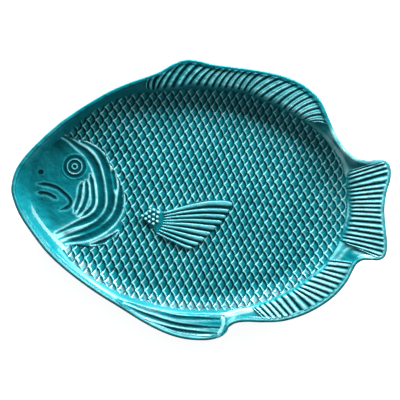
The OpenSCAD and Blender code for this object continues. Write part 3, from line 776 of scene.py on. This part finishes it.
@dataclass
class FootRing(Part):
    """The ring that the platter stands on, with the glaze wiped off its rounded edge."""

    dish: Dish
    inset: float = 4 * MM
    width: float = 6 * MM
    count: int = 360
    # The section, as shares of the width from the outside and of the height from the table
    section: tuple = ((0, 1), (0.01, 0.7), (0.05, 0.3), (0.14, 0.08), (0.28, 0), (0.5, 0), (0.72, 0),
                      (0.86, 0.08), (0.95, 0.3), (0.99, 0.7), (1, 1))

    def build(self) -> bpy.types.Object:
        """One closed ring, swept along the foot of the side wall.

        Returns:
            The piece.
        """
        angle = np.linspace(0, 2 * np.pi, self.count, endpoint=False)
        outer = self.dish.crest_reach(angle) - self.dish.wall_run - self.inset
        points = np.vstack([np.column_stack([self.dish.toward(angle, outer - self.width * share),
                                             np.full(self.count, self.dish.foot_height * height)])
                            for share, height in self.section])
        faces = sheet_faces(len(self.section), self.count, round_rows=True, round_columns=True)[:, ::-1]
        return Shell(points, [faces], np.full(len(points), 0.5)).piece("foot_ring_rim")


@dataclass
class ScaleField(Part):
    """Scales that overlap like tiles in slanting rows, from the gill folds to the side wall.

    A cell of the field has its four corners at L, T, R and B: left, top, right and bottom. A corner has two
    whole numbers, p along the rows towards the tail and q up across them. The rows bow a little, and the
    scales stand closest a little left of the middle and widest towards both ends: a wave over p does both.
    """

    dish: Dish
    # The lattice: its middle in percent of the platter's size, a cell's length and height, and how the rows
    # slant, wave, sag, lean, bow, crowd, widen and fan out
    centre: tuple = (12.9, 2.1)
    length: float = 8.6 * MM
    height: float = 14.7 * MM
    tilt: float = 4.3
    wave_step: float = 6.4
    swell: float = 0.59
    sag: float = 0.163
    lean: float = 0.063
    bow: float = 0.0019
    crowd: float = 0.0008
    widen: float = 0.00022
    fan: float = 0.0019
    # How far the edges of a cell bulge, and how much more with each column
    bulge: float = 0.65 * MM
    bulge_growth: float = 0.018 * MM
    # Heights over the dish: the left edges and how much they rise to their corners, the plateau and the groove
    crest: float = 1.75 * MM
    peak: float = 0.3 * MM
    plateau: float = 1.35 * MM
    groove: float = 0.4 * MM
    # Shares of a cell's side at which its grid has lines
    levels: tuple = (0, 0.07, 0.15, 0.26, 0.47, 0.7, 0.9, 1)
    # Over how many pixels the scales fade out at the edge of the field, and the same above the belly
    edge: float = 3.0
    fade: float = 8.0
    # How far the scales sink into the dish at the edge of the field, and how deep the field goes below it
    sink: float = 0.3 * MM
    skirt: float = 1.5 * MM

    def corner(self, p: Array, q: Array) -> Array:
        """Places of the corners of the cells, or of points between them for numbers that aren't whole.

        The middle is given in percent of the platter's length and width. The rows fan out away from the back.

        Args:
            p: numbers along the rows.
            q: numbers up across them.

        Returns:
            The places.
        """
        size = np.subtract(self.dish.high, self.dish.low)[:2]
        wave = np.sin(np.radians((p + 5) * self.wave_step)) - np.sin(np.radians(5 * self.wave_step))
        slope = p * np.tan(np.radians(self.tilt)) + self.sag * wave
        x = (p - self.swell * wave) * (1 + self.widen * (q - 5)**2) * self.length / 2
        y = (q - self.crowd * q**2) * self.height / 2 - slope * (1 - self.fan * (q - 6)**2) * self.length / 2
        x = x + (self.lean * q + self.bow * q**2) * self.height / 2
        return np.stack([x, y], -1) + np.array(self.centre) * size / 100

    def grid(self, region: Array) -> tuple:
        """A grid of points in every cell whose middle lies in the region, joined along the cells' shared edges.

        Args:
            region: the outline of the field.

        Returns:
            The whole numbers of each point's cell, the point's shares u and v across it, and the faces.
        """
        i, j = np.meshgrid(np.arange(-40, 30), np.arange(-40, 30), indexing="ij")
        kept = depth_in(region, self.corner(i + j + 1, i - j + 0.0)) > -2 * self.dish.photo.pixel
        cells, steps = np.stack([i[kept], j[kept]], 1), len(self.levels) - 1
        a, b = np.meshgrid(np.arange(steps + 1), np.arange(steps + 1), indexing="ij")
        # Numbers of the grid's points over the whole field, so that neighbours share their edges
        key = (cells[:, None, None, :] * steps + np.stack([a, b], -1)).reshape(-1, 2)
        unique, number = np.unique(key, axis=0, return_inverse=True)
        faces = number.reshape(len(cells), -1)[:, sheet_faces(steps + 1, steps + 1)].reshape(-1, 4)
        whole, part = np.divmod(unique, steps)
        return whole, *np.array(self.levels)[part].T, faces

    def bulged(self, p: Array, q: Array, u: Array, v: Array) -> Array:
        """Places of points in cells whose edges bulge to the right: a sine along the edge, square to it.

        Args:
            p: numbers along the rows.
            q: numbers up across them.
            u: shares across the cell, towards its top right edge.
            v: shares across the cell, towards its bottom right edge.

        Returns:
            The places.
        """
        along_u = self.corner(p + 0.5, q + 0.5) - self.corner(p - 0.5, q - 0.5)
        along_v = self.corner(p + 0.5, q - 0.5) - self.corner(p - 0.5, q + 0.5)
        side_u = np.stack([-along_v[:, 1], along_v[:, 0]], 1) / np.linalg.norm(along_v, axis=1, keepdims=True)
        side_v = np.stack([along_u[:, 1], -along_u[:, 0]], 1) / np.linalg.norm(along_u, axis=1, keepdims=True)
        bulge = (self.bulge + self.bulge_growth * np.abs(p + 12))[:, None]
        return self.corner(p, q) + bulge * (np.sin(np.pi * v)[:, None] * side_u + np.sin(np.pi * u)[:, None] * side_v)

    def relief(self, u: Array, v: Array, reach: Array) -> tuple:
        """Height of a scale over the dish and how thick the glaze lies, at shares u and v across a cell.

        A scale is highest along its two left edges, falls to a plateau and on to a groove before its right
        edges, where the next scales rise. The glaze runs thin over the left edges, up to the share reach, and
        gathers toward the right edges, with painted shade making the top right edge darker than the bottom right one.

        Args:
            u: shares across the cell, towards its top right edge.
            v: shares across the cell, towards its bottom right edge.
            reach: the share of an edge up to which the glaze is thinnest.

        Returns:
            The heights and the glaze.
        """
        low, high = np.minimum(u, v), np.maximum(u, v)
        left, right = 1 - ease(low / 0.22), ease((high - 0.9) / 0.1)
        hollow = ease((high - 0.5) / 0.4)
        along = np.where(left >= right, high, low)
        rim = self.crest + self.peak * np.cos(2 * np.pi * along)
        edge = np.maximum(left, right)
        inner = self.plateau * (1 - hollow) + self.groove * hollow
        thin = 0.02 + 0.5 * ease((along - reach) / 0.5)
        line = np.maximum(1 - ease((low - 0.05) / 0.13), ease((high - 0.95) / 0.05))
        # The glaze gathers toward the right edges; the top right edge is darker still as painted shade
        dark = np.maximum(0.38 * ease((u - 0.4) / 0.45), 0.33 * ease((v - 0.5) / 0.4))
        return inner * (1 - edge) + rim * edge, (0.48 + dark) * (1 - line) + thin * line

    def build(self) -> bpy.types.Object:
        """The field as one closed solid.

        Returns:
            The piece.
        """
        photo = self.dish.photo
        # The field reaches a little under the gill folds
        region = photo.place(np.vstack([FIELD_WALL, np.array(FIELD_GILL) - (4, 0)]))
        whole, u, v, faces = self.grid(region)
        at = self.bulged(whole.sum(1) + u + v, whole[:, 0] - whole[:, 1] + u - v, u, v)
        along, up = (at / self.dish.high[:2]).T
        height, glaze_and_light = self.relief(u, v, 0.48 + 0.2 * ease((along - 0.62) / 0.2))
        deep = depth_in(region, at) / photo.pixel + 1
        belly = ease((-up - 0.35) / 0.3)
        keep = ease(deep / (self.edge + (self.fade - self.edge) * belly))
        ground = self.dish.height(at)
        top = ground + (height + self.sink) * keep - self.sink
        # Painted light on the right of the field and painted shade at its upper left, from the scale spots
        glaze_and_light = glaze_and_light + photo.patches(SCALE_PAINTED_LIGHT, at) * (0.3 + 0.7 * ease(glaze_and_light / 0.4))
        # Painted light: toward the belly the field's edge fades to a paler glaze, as the belly's wall does
        bare = 0.5 - 0.18 * belly
        glaze_and_light = bare + (glaze_and_light - bare) * ease(deep / self.edge)
        return Shell.sheet(at, faces, top, ground - self.skirt, glaze_and_light).piece("scales")


@dataclass
class Relief(Part):
    """A form raised on the dish within an outline, with grooves pressed in and ridges on top.

    The outline, grooves and ridges are in pixels of the photograph, and so are the widths of the edge.
    """

    dish: Dish
    name: str
    outline: tuple
    rise: float = 1.4 * MM
    edge: float = 3.0
    spacing: float = 0.6 * MM
    margin: float = 1.0
    grooves: tuple = ()
    ridges: tuple = ()
    # How thick the glaze lies on the ridges
    crest_pool: float = 0.24
    skirt: float = 1.5 * MM

    def __post_init__(self) -> None:
        """Keeps the outline as a smooth loop."""
        self.loop = smooth_curve(self.dish.photo.place(self.outline), 4, closed=True)

    def lift(self, at: Array) -> Array:
        """Height of the plain raised form over the dish, from its edge inwards."""
        deep = depth_in(self.loop, at) / self.dish.photo.pixel
        return self.rise * ease((deep + self.margin * 0.4) / self.edge) - 0.2 * MM

    def shade(self, at: Array) -> Array:
        """How thick the glaze lies on the plain form."""
        return np.full(at.shape[:-1], 0.5)

    def plain(self, at: Array) -> Array:
        """Heights of the form before its grooves and ridges."""
        return self.dish.height(at) + self.lift(at)

    def surface(self, at: Array) -> tuple:
        """The finished form. It stays below the lip, and its grooves don't cut into the dish.

        Args:
            at: the points.

        Returns:
            The form's height, how thick the glaze lies, and the dish's own height at each point.
        """
        photo, ground = self.dish.photo, self.dish.height(at)
        lift, glaze_and_light = self.lift(at), self.shade(at)
        if self.ridges:
            size, strength, _, _ = strongest(self.ridges, photo, at)
            lift = lift + size * np.clip(lift / self.rise, 0, 1)
            glaze_and_light = glaze_and_light + (self.crest_pool - glaze_and_light) * ease(strength * 1.6)
        if self.grooves:
            size, strength, deep, shoulder = strongest(self.grooves, photo, at)
            lift = np.maximum(lift - size, np.minimum(lift, 0.15 * MM))
            glaze_and_light = (glaze_and_light + (deep - glaze_and_light) * ease(strength * 1.4)) * (1 - 0.97 * shoulder)
        return np.minimum(ground + lift, self.dish.top - GAP), np.clip(glaze_and_light, 0, 1), ground

    def build(self) -> bpy.types.Object:
        """One closed solid over a square net.

        Returns:
            The piece.
        """
        at, faces = net(self.loop, self.spacing, self.margin * self.dish.photo.pixel)
        top, glaze_and_light, ground = self.surface(at)
        return Shell.sheet(at, faces, top, ground - self.skirt, glaze_and_light).piece(self.name)


@dataclass
class Head(Relief):
    """The face and the gill folds: a smooth dome with the mouth, the nostril and the folds pressed into it."""

    def lift(self, at: Array) -> Array:
        """The dome: it rises slowly from the side wall and stops short at the first scales.

        Args:
            at: the points.

        Returns:
            Its height over the dish at each point.
        """
        photo = self.dish.photo
        within = np.where(inside(photo.place(np.vstack([HEAD_WALL, FIELD_GILL])), at), 1, -1)
        wall, gill = (within * nearest(smooth_curve(photo.place(path), 6), at)[0] / photo.pixel
                      for path in (HEAD_WALL, FIELD_GILL))
        slope = self.rise * ease(wall / 18) + 0.25 * MM * ease((wall + 2) / 7)
        return slope * ease((gill + 1.6) / 2.4) - 0.22 * MM

    def shade(self, at: Array) -> Array:
        """Painted shade on the brow and on the snout, painted highlights below the mouth and over the ends of the gill
        folds.
        """
        return 0.51 + self.dish.photo.patches(FACE_PAINTED_LIGHT, at)

    def surface(self, at: Array) -> tuple:
        """The form with a shallow bed for the eye, as for any relief."""
        top, glaze_and_light, ground = super().surface(at)
        return top - 0.45 * MM * (1 - ease((self.dish.photo.far(EYE, at) - 11.5) / 2)), glaze_and_light, ground


@dataclass
class SideFin(Relief):
    """The side fin: a raised fan, with a round boss at its root."""

    boss: tuple = (151, 217.5)
    boss_reach: float = 11
    boss_rise: float = 0.9 * MM
    # Where the ridges begin, along X in pixels
    ridges_from: float = 168

    def _boss(self, at: Array) -> Array:
        """1 at the middle of the boss, 0 past its edge."""
        return ease(1.25 * (1 - self.dish.photo.far(self.boss, at) / self.boss_reach))

    def lift(self, at: Array) -> Array:
        """The fan, and the boss over it."""
        return super().lift(at) + self.boss_rise * self._boss(at)

    def shade(self, at: Array) -> Array:
        """Deep between the ridges, paler round the root."""
        before = self.dish.photo.place((self.ridges_from, 0))[0] - at[..., 0]
        return 0.82 - 0.26 * ease(before / self.dish.photo.pixel / 6) + 0.06 * self._boss(at)


@dataclass
class Eye(Part):
    """The eye: turned rings about a pit."""

    dish: Dish
    head: Head
    columns: int = 72
    # For each ring its radius in pixels, its height over the face in millimetres, and how thick the glaze lies
    rings: tuple = ((0.8, -0.1, 0.85), (1.5, 0.1, 0.8), (2.1, 0.6, 0.3), (2.6, 0.85, 0.05), (3.1, 0.6, 0.35),
                    (3.7, 0.15, 0.82), (5.1, 0, 0.76), (6.4, 0.15, 0.82), (6.9, 0.7, 0.36), (7.4, 0.95, 0.05),
                    (7.9, 0.7, 0.36), (8.6, 0.15, 0.82), (9.9, -0.05, 0.8), (11.1, 0.1, 0.76),
                    (11.8, 0.4, 0.46), (12.4, 0.5, 0.36), (13.0, 0.35, 0.42), (13.6, 0.1, 0.48), (14.2, -0.2, 0.5))

    def build(self) -> bpy.types.Object:
        """One closed solid of rings, each at the height of the face under it and the ring's own.

        Returns:
            The piece.
        """
        radius, rise, glaze_and_light = np.array(self.rings).T[..., None]
        angle = np.linspace(0, 2 * np.pi, self.columns, endpoint=False)
        middle, reach = self.dish.photo.place(EYE), radius * self.dish.photo.pixel
        at = middle + np.stack([reach * np.cos(angle), reach * np.sin(angle)], -1)
        ground = self.head.plain(at)
        # The last ring again, one millimetre below the face, and the middles above and below
        at = np.concatenate([at, at[-1:]]).reshape(-1, 2)
        z = np.append(ground + rise * MM, ground[-1] - 1 * MM)
        ends = [(*middle, ground[0].mean() - 0.15 * MM), (*middle, ground[-1].mean() - 1 * MM)]
        glaze = np.append(np.repeat(glaze_and_light, self.columns), np.full(self.columns + 2, 0.9))
        return Shell(np.vstack([np.column_stack([at, z]), ends]), dome_faces(len(self.rings) + 1, self.columns),
                     glaze).piece("eye_rings")


class Section(Enum):
    """How a fin's rays look across: one round ridge between two grooves, or one with a fine line along it."""

    PLAIN = 0.0
    LINED = 0.3


@dataclass
class FinRays(Part):
    """The rays of a fin, between grooves that fan out from the side wall to the lip.

    Two bands outside the first and the last groove close the fin off.
    """

    dish: Dish
    name: str
    grooves: tuple
    section: Section = Section.PLAIN
    # How far a ray bends, in pixels
    bow: float = 0.0
    rise: float = 1.7 * MM
    dip: float = 0.3 * MM
    # Where the rays end, as a share of the lip's width in from the outline
    reach: float = 0.75
    roundness: float = 2.0
    # The width of the pale crest at the first and the last groove, and how much deeper the tips are
    pale: tuple = (0.15, 0.15)
    tip: float = 0.0
    across: int = 12
    along: int = 14
    # The width of an outer band, as a share of the step to the next groove
    outer: float = 0.45
    # Rows that sink into the dish before the foot of the rays, as shares of their length
    sunk: tuple = (-0.16, -0.08)
    skirt: float = 1.5 * MM

    def relief(self, row: Array, w: Array, outer: Array, inward: Array) -> tuple:
        """How far the rays stand over the dish, and how thick the glaze lies.

        Across, a ray is one less a power of the distance from its middle, with a bell taken out of a lined
        one, and an outer band is half a sine. Along it, a ray rises at its foot and falls toward the lip. The
        glaze is thin on the crests, and thick in the grooves and along the line of a lined ray.

        Args:
            row: shares of the way along the rays.
            w: shares of the way across a band.
            outer: whether the band is an outer one.
            inward: the share of the way in from the fin's edge, for an outer band.

        Returns:
            The heights and the glaze, rows by columns.
        """
        crest = 1 - np.abs(2 * w - 1)**self.roundness
        crest = crest * (1 - self.section.value * bump((w - 0.5) / 0.13))
        crest = np.where(outer, 0.8 * np.sin(np.pi * inward), crest)
        rise = ease((row + 0.16) / 0.2) * (1 - 0.25 * ease((row - 0.5) / 0.35)) * (1 - 0.55 * ease((row - 0.86) / 0.14))
        lift = rise * (self.rise * crest + self.dip * (1 - crest)) - 0.25 * MM * (1 - ease((row + 0.16) / 0.12))
        off = np.abs(2 * w - 1) - np.linspace(*self.pale, len(w))
        glaze_and_light = 0.02 + 0.34 * ease(off / 0.5) + 0.6 * ease((off - 0.3) / 0.4)
        glaze_and_light = glaze_and_light + 0.8 * self.section.value * bump((w - 0.42) / 0.12) + self.tip * ease((row - 0.82) / 0.14)
        glaze_and_light = np.where(outer, 0.42 + (glaze_and_light - 0.42) * ease(inward / 0.7), glaze_and_light)
        foot = ease((row + 0.1) / 0.12)
        # The fin's own edge sinks into the dish
        return lift - np.where(outer & (inward < 0.05), 0.3 * MM, 0), np.clip(glaze_and_light * foot + 0.4 * (1 - foot), 0, 1)

    def build(self) -> bpy.types.Object:
        """One closed solid: a grid over the whole fin, whose columns run along the rays.

        Returns:
            The piece.
        """
        photo, lines = self.dish.photo, np.reshape(self.grooves, (-1, 2, 2)).astype(float)
        lines = np.concatenate([(1 + self.outer) * lines[:1] - self.outer * lines[1:2], lines,
                                (1 + self.outer) * lines[-1:] - self.outer * lines[-2:-1]])
        bands = len(lines) - 1
        column = np.linspace(0, bands, bands * self.across + 1)
        band = np.minimum(column.astype(int), bands - 1)
        w = column - band
        row = np.concatenate([self.sunk, np.linspace(0, 1, self.along)])[:, None]
        foot, tip = (photo.place(lines[band, k] + (lines[band + 1, k] - lines[band, k]) * w[:, None]) for k in (0, 1))
        run = self.dish.on_lip(tip, self.reach) - foot
        side = np.stack([run[:, 1], -run[:, 0]], 1) / np.linalg.norm(run, axis=1, keepdims=True)
        at = foot + run * row[..., None] - side * (self.bow * photo.pixel * 4 * row * (1 - row))[..., None]
        outer = (band == 0) | (band == bands - 1)
        inward = np.where(band == 0, w, 1 - w)
        ground, (lift, glaze_and_light) = self.dish.height(at), self.relief(row, w, outer, inward)
        top = np.minimum(ground + lift, self.dish.top - GAP)
        return Shell.sheet(at, sheet_faces(*at.shape[:2]), top, ground - self.skirt, glaze_and_light).piece(self.name)


@dataclass
class Beads(Part):
    """Small round beads on the boss at the root of the side fin."""

    dish: Dish
    base: float
    pixels: tuple
    radius: float = 1.65 * MM
    rings: int = 6
    columns: int = 14

    def build(self) -> bpy.types.Object:
        """All the beads as one mesh of closed half balls.

        Returns:
            The piece.
        """
        middle = self.dish.photo.place(self.pixels)
        tilt = np.repeat(np.linspace(0.12, np.pi / 2, self.rings), self.columns)
        turn = np.tile(np.linspace(0, 2 * np.pi, self.columns, endpoint=False), self.rings)
        ring = np.stack([np.sin(tilt) * np.cos(turn), np.sin(tilt) * np.sin(turn), np.cos(tilt)], 1)
        one = np.vstack([ring, (0, 0, 1), (0, 0, -0.5)]) * self.radius
        start = (np.arange(len(middle)) * len(one))[:, None, None]
        points = one + np.column_stack([middle, np.full(len(middle), self.base)])[:, None]
        faces = [(block + start).reshape(-1, block.shape[1]) for block in dome_faces(self.rings, self.columns)]
        glaze_and_light = np.tile(np.clip(0.6 * (1 - one[:, 2] / self.radius)**2, 0, 1), len(middle))
        return Shell(points.reshape(-1, 3), faces, glaze_and_light).piece("beads")


@dataclass(frozen=True)
class Socket:
    """An output of a node, with the operators that add Math nodes."""

    graph: "Graph"
    out: bpy.types.NodeSocket

    def _maths(self, operation: str, *values: "Socket | float") -> "Socket":
        """One Math node of the operation on these values."""
        return self.graph.node("ShaderNodeMath", {"operation": operation}, dict(enumerate(values)))

    def __add__(self, other: "Socket | float") -> "Socket":
        """The sum."""
        return self._maths("ADD", self, other)

    def __radd__(self, other: "Socket | float") -> "Socket":
        """The sum, the other way round."""
        return self._maths("ADD", other, self)

    def __sub__(self, other: "Socket | float") -> "Socket":
        """The difference."""
        return self._maths("SUBTRACT", self, other)

    def __rsub__(self, other: "Socket | float") -> "Socket":
        """The difference, the other way round."""
        return self._maths("SUBTRACT", other, self)

    def __mul__(self, other: "Socket | float") -> "Socket":
        """The product."""
        return self._maths("MULTIPLY", self, other)

    def __rmul__(self, other: "Socket | float") -> "Socket":
        """The product, the other way round."""
        return self._maths("MULTIPLY", other, self)


class Graph:
    """The nodes of one material or of the world."""

    def __init__(self, owner: bpy.types.Material | bpy.types.World) -> None:
        """Empties the owner's node tree.

        Args:
            owner: the material or the world.
        """
        owner.use_nodes = True
        self.tree = owner.node_tree
        self.tree.nodes.clear()

    def node(self, kind: str, settings: dict | None = None, values: dict | None = None,
             out: str | int = 0) -> Socket:
        """Adds a node.

        Args:
            kind: the node's type.
            settings: its settings, set first. The stops of a ramp go by the name stops, as pairs of place and
                colour.
            values: values or links of its sockets, by name or number.
            out: which output to return, by name or number.

        Returns:
            The node's output.
        """
        made = self.tree.nodes.new(kind)
        for name, value in (settings or {}).items():
            if name == "stops":
                elements = made.color_ramp.elements
                while len(elements) < len(value):
                    elements.new(0.5)
                for element, (place, colour) in zip(elements, value):
                    element.position, element.color = place, (*colour, 1)
            else:
                setattr(made, name, value)
        for name, value in (values or {}).items():
            if isinstance(value, Socket):
                self.tree.links.new(value.out, made.inputs[name])
            else:
                made.inputs[name].default_value = value
        return Socket(self, made.outputs[out]) if made.outputs else Socket(self, None)


@dataclass(frozen=True)
class Glaze:
    """Glossy translucent glaze: pale where it runs thin over edges, deep where it gathers in hollows."""

    name: str = "teal_glaze"
    # The colour where the glaze lies this thick
    stops: tuple = ((0.0, (0.4, 0.79, 0.83)), (0.12, (0.17, 0.55, 0.59)), (0.3, (0.045, 0.31, 0.355)),
                    (0.4, (0.004, 0.24, 0.285)), (0.5, (0.001, 0.178, 0.215)), (0.75, (0.0, 0.065, 0.083)),
                    (1.0, (0.0, 0.02, 0.027)))
    # The roughness of thin glaze, and how much it grows with the thickness
    roughness: float = 0.12
    roughness_growth: float = 0.4
    specular: float = 0.04
    coat: float = 1.0
    cloud_size: float = 30
    cloud_depth: float = 0.26
    speck_size: float = 900
    speck_depth: float = 0.06
    ripple_size: float = 85
    ripple_depth: float = 2.2 * MM

    def material(self) -> bpy.types.Material:
        """The glaze: a ramp over the pooled thickness and the painted light and shade in it, with clouds and specks in
        the melt, and a faint ripple.

        The coat fades with the square of what the thickness leaves of one.

        Returns:
            The material.
        """
        made = bpy.data.materials.new(self.name)
        graph = Graph(made)
        glaze_and_light = graph.node("ShaderNodeAttribute", {"attribute_name": GLAZE_AND_LIGHT_ATTRIBUTE}, out="Fac")
        place = graph.node("ShaderNodeTexCoord", out="Object")
        cloud = graph.node("ShaderNodeTexNoise", {}, {"Vector": place, "Scale": self.cloud_size, "Detail": 3.0})
        speck = graph.node("ShaderNodeTexNoise", {}, {"Vector": place, "Scale": self.speck_size, "Detail": 2.0})
        thick = glaze_and_light + (cloud - 0.5) * self.cloud_depth + (speck - 0.5) * self.speck_depth
        colour = graph.node("ShaderNodeValToRGB", {"stops": self.stops}, {"Fac": thick}, out="Color")
        ripple = graph.node("ShaderNodeTexNoise", {}, {"Vector": place, "Scale": self.ripple_size, "Detail": 3.0})
        bent = graph.node("ShaderNodeBump", {}, {"Height": ripple, "Strength": 1.0, "Distance": self.ripple_depth})
        shader = graph.node("ShaderNodeBsdfPrincipled", {}, {
            "Base Color": colour, "Roughness": glaze_and_light * self.roughness_growth + self.roughness, "Normal": bent,
            "Specular IOR Level": self.specular,
            "Coat Weight": (1 - glaze_and_light) * (1 - glaze_and_light) * self.coat, "Coat Roughness": 0.04, "IOR": 1.5})
        graph.node("ShaderNodeOutputMaterial", {}, {"Surface": shader})
        return made


@dataclass(frozen=True)
class BareClay:
    """Matt clay with the glaze wiped off, a little scuffed where it stands on the table."""

    name: str = "bare_clay"
    light: tuple = (0.80, 0.72, 0.60)
    dark: tuple = (0.60, 0.50, 0.39)
    roughness: float = 0.8
    grain_size: float = 700
    grain_depth: float = 0.4 * MM
    patch_size: float = 60

    def material(self) -> bpy.types.Material:
        """The clay: two tones in a fine grain and in patches, with its own bump.

        Returns:
            The material.
        """
        made = bpy.data.materials.new(self.name)
        graph = Graph(made)
        place = graph.node("ShaderNodeTexCoord", out="Object")
        grain = graph.node("ShaderNodeTexNoise", {}, {"Vector": place, "Scale": self.grain_size, "Detail": 4.0})
        patch = graph.node("ShaderNodeTexNoise", {}, {"Vector": place, "Scale": self.patch_size, "Detail": 3.0})
        colour = graph.node("ShaderNodeMix", {"data_type": "RGBA"},
                            {"Factor": grain * 0.5 + patch * 0.5, 6: (*self.dark, 1), 7: (*self.light, 1)}, out=2)
        bent = graph.node("ShaderNodeBump", {}, {"Height": grain, "Strength": 0.4, "Distance": self.grain_depth})
        shader = graph.node("ShaderNodeBsdfPrincipled", {},
                            {"Base Color": colour, "Roughness": self.roughness, "Normal": bent})
        graph.node("ShaderNodeOutputMaterial", {}, {"Surface": shader})
        return made


@dataclass(frozen=True)
class Studio:
    """A pale floor, a wide soft light low behind the back fin, even surroundings, and the camera above."""

    photo: Photo
    lip_height: float
    floor_size: float = 60.0
    # How bright the floor shows unshaded, and how bright the surroundings are
    glow: float = 0.84
    surroundings: float = 0.22
    key_place: tuple = (0.42, 1.34, 0.52)
    key_size: tuple = (2.6, 0.55)
    key_watts: float = 108
    camera_height: float = 5.0
    camera_reach: float = 50
    sensor: float = 36.0

    def floor(self) -> None:
        """The floor: pale and matt, and white where the camera or a reflection meets it unshaded."""
        bpy.ops.mesh.primitive_plane_add(size=self.floor_size)
        made = bpy.context.object
        made.name = "floor"
        paper = bpy.data.materials.new("paper")
        graph = Graph(paper)
        seen = self.seen(graph)
        shader = graph.node("ShaderNodeBsdfPrincipled", {}, {
            "Base Color": (0.9, 0.9, 0.9, 1), "Roughness": 0.9, "Specular IOR Level": 0.1})
        glow = graph.node("ShaderNodeEmission", {}, {"Strength": self.glow})
        none = graph.node("ShaderNodeEmission", {}, {"Strength": 0.0})
        added = graph.node("ShaderNodeMixShader", {}, {0: seen, 1: none, 2: glow})
        both = graph.node("ShaderNodeAddShader", {}, {0: shader, 1: added})
        graph.node("ShaderNodeOutputMaterial", {}, {"Surface": both})
        made.data.materials.append(paper)

    @staticmethod
    def seen(graph: Graph) -> Socket:
        """1 for the rays that show a background: the camera's, a reflection's and those through glass.

        Args:
            graph: the nodes it is added to.

        Returns:
            The greatest of the three.
        """
        rays = [graph.node("ShaderNodeLightPath", out=name) for name in
                ("Is Camera Ray", "Is Glossy Ray", "Is Transmission Ray")]
        return graph.node("ShaderNodeMath", {"operation": "MAXIMUM"}, {
            0: rays[0], 1: graph.node("ShaderNodeMath", {"operation": "MAXIMUM"}, {0: rays[1], 1: rays[2]})})

    def lamp(self) -> None:
        """An area lamp that looks at the middle of the platter."""
        data = bpy.data.lights.new("key", "AREA")
        data.shape, data.size, data.size_y, data.energy = "RECTANGLE", *self.key_size, self.key_watts
        made = bpy.data.objects.new("key", data)
        made.location = self.key_place
        direction = -made.location.normalized()
        made.rotation_euler = direction.to_track_quat("-Z", "Y").to_euler()
        bpy.context.scene.collection.objects.link(made)

    def world(self) -> None:
        """Even, dim surroundings."""
        world = bpy.data.worlds.new("surroundings")
        bpy.context.scene.world = world
        graph = Graph(world)
        back = graph.node("ShaderNodeBackground", {}, {"Color": (1, 1, 1, 1), "Strength": self.surroundings})
        graph.node("ShaderNodeOutputWorld", {}, {"Surface": back})

    def camera(self) -> None:
        """The camera, straight above, with the photograph's frame at the height of the lip."""
        data = bpy.data.cameras.new("camera")
        data.sensor_width = self.sensor
        data.lens = self.sensor * self.camera_height / (PHOTO_SIZE * self.photo.pixel)
        data.clip_end = self.camera_reach
        made = bpy.data.objects.new("camera", data)
        middle = self.photo.middle
        made.location = (middle[0], middle[1], self.lip_height + self.camera_height)
        bpy.context.scene.collection.objects.link(made)
        bpy.context.scene.camera = made

    def build(self) -> None:
        """Sets up all of it, with plain colours."""
        self.floor()
        self.lamp()
        self.world()
        self.camera()
        bpy.context.scene.view_settings.view_transform = "Standard"


def reliefs(dish: Dish) -> tuple:
    """The forms raised on the dish within an outline.

    Args:
        dish: the dish they stand on.

    Returns:
        The face with its gill folds, the belly fin and the side fin.
    """
    grooves = tuple(Line(path, 2.1, 1.0 * MM, deep=0.8, shoulder=0.4) for path in MOUTH)
    grooves += tuple(Line(path, 2.2, 1.2 * MM, deep=0.7, shoulder=0.8) for path in CHEEK)
    grooves += tuple(Line(path, wide, 1.5 * MM, taper=0.3, blunt=0.35, deep=0.72)
                     for path, wide in zip(GILLS, GILL_WIDTHS))
    grooves += (Line(NOSTRIL, 2.7, 1.2 * MM, blunt=1.0, deep=1.0, shoulder=0.15),)
    head = Head(dish, "head", HEAD_WALL + FIELD_GILL, rise=1.5 * MM, margin=2.0, grooves=grooves)
    belly = Relief(dish, "belly_fin", PELVIC, rise=1.5 * MM, edge=4.0, crest_pool=0.06,
                   grooves=tuple(Line(path, wide, 1.2 * MM, taper=0.3, blunt=0.5, deep=deep, shoulder=0.5)
                                 for path, wide, deep in zip(PELVIC_GROOVES, PELVIC_WIDTHS, PELVIC_BEDS)),
                   ridges=(Line(PELVIC_BEND, 2.2, 0.7 * MM), Line(PELVIC_CREST, 1.3, 0.4 * MM)))
    side = SideFin(dish, "side_fin", PECTORAL, rise=2.6 * MM, edge=2.2, spacing=0.45 * MM,
                   ridges=tuple(Line(path, wide, 1.4 * MM, taper=0.05, blunt=0.75, root=0.42, power=3.0)
                                for path, wide in zip(PECTORAL_RIDGES, PECTORAL_WIDTHS)))
    return head, belly, side


def main() -> None:
    """Builds the pieces in order and reports each."""
    logging.basicConfig(level=logging.INFO, format="%(message)s")
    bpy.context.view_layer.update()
    low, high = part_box("platter_body")
    photo = Photo(tuple(low[:2]), tuple(high[:2]))
    finishes = {Slot.GLAZE: Glaze().material(), Slot.CLAY: BareClay().material()}
    dish = Dish(photo, tuple(low), tuple(high))
    head, belly, side = reliefs(dish)
    for part, node, slot in (
            (dish, "platter_body", Slot.GLAZE), (FootRing(dish), "foot_ring", Slot.CLAY),
            (ScaleField(dish), "scale_field", Slot.GLAZE), (head, "gill_folds", Slot.GLAZE),
            (Eye(dish, head), "eye", Slot.GLAZE),
            (FinRays(dish, "back_fin", DORSAL, Section.LINED, 1.5, pale=(0.03, 0.36), tip=0.45),
             "dorsal_fin_rays", Slot.GLAZE),
            (FinRays(dish, "tail_fin", TAIL, pale=(0.11, 0.11)), "tail_fin_rays", Slot.GLAZE),
            (FinRays(dish, "rear_fin", ANAL, pale=(0.19, 0.2), tip=0.15), "anal_fin_rays", Slot.GLAZE),
            (belly, "pelvic_fin_rays", Slot.GLAZE), (side, "pectoral_fin", Slot.GLAZE),
            (Beads(dish, dish.floor + 3.2 * MM, BEADS), "fin_root_beads", Slot.GLAZE)):
        part.dress(node, slot, finishes)
    Studio(photo, high[2]).build()


if __name__ == "__main__":
    main()
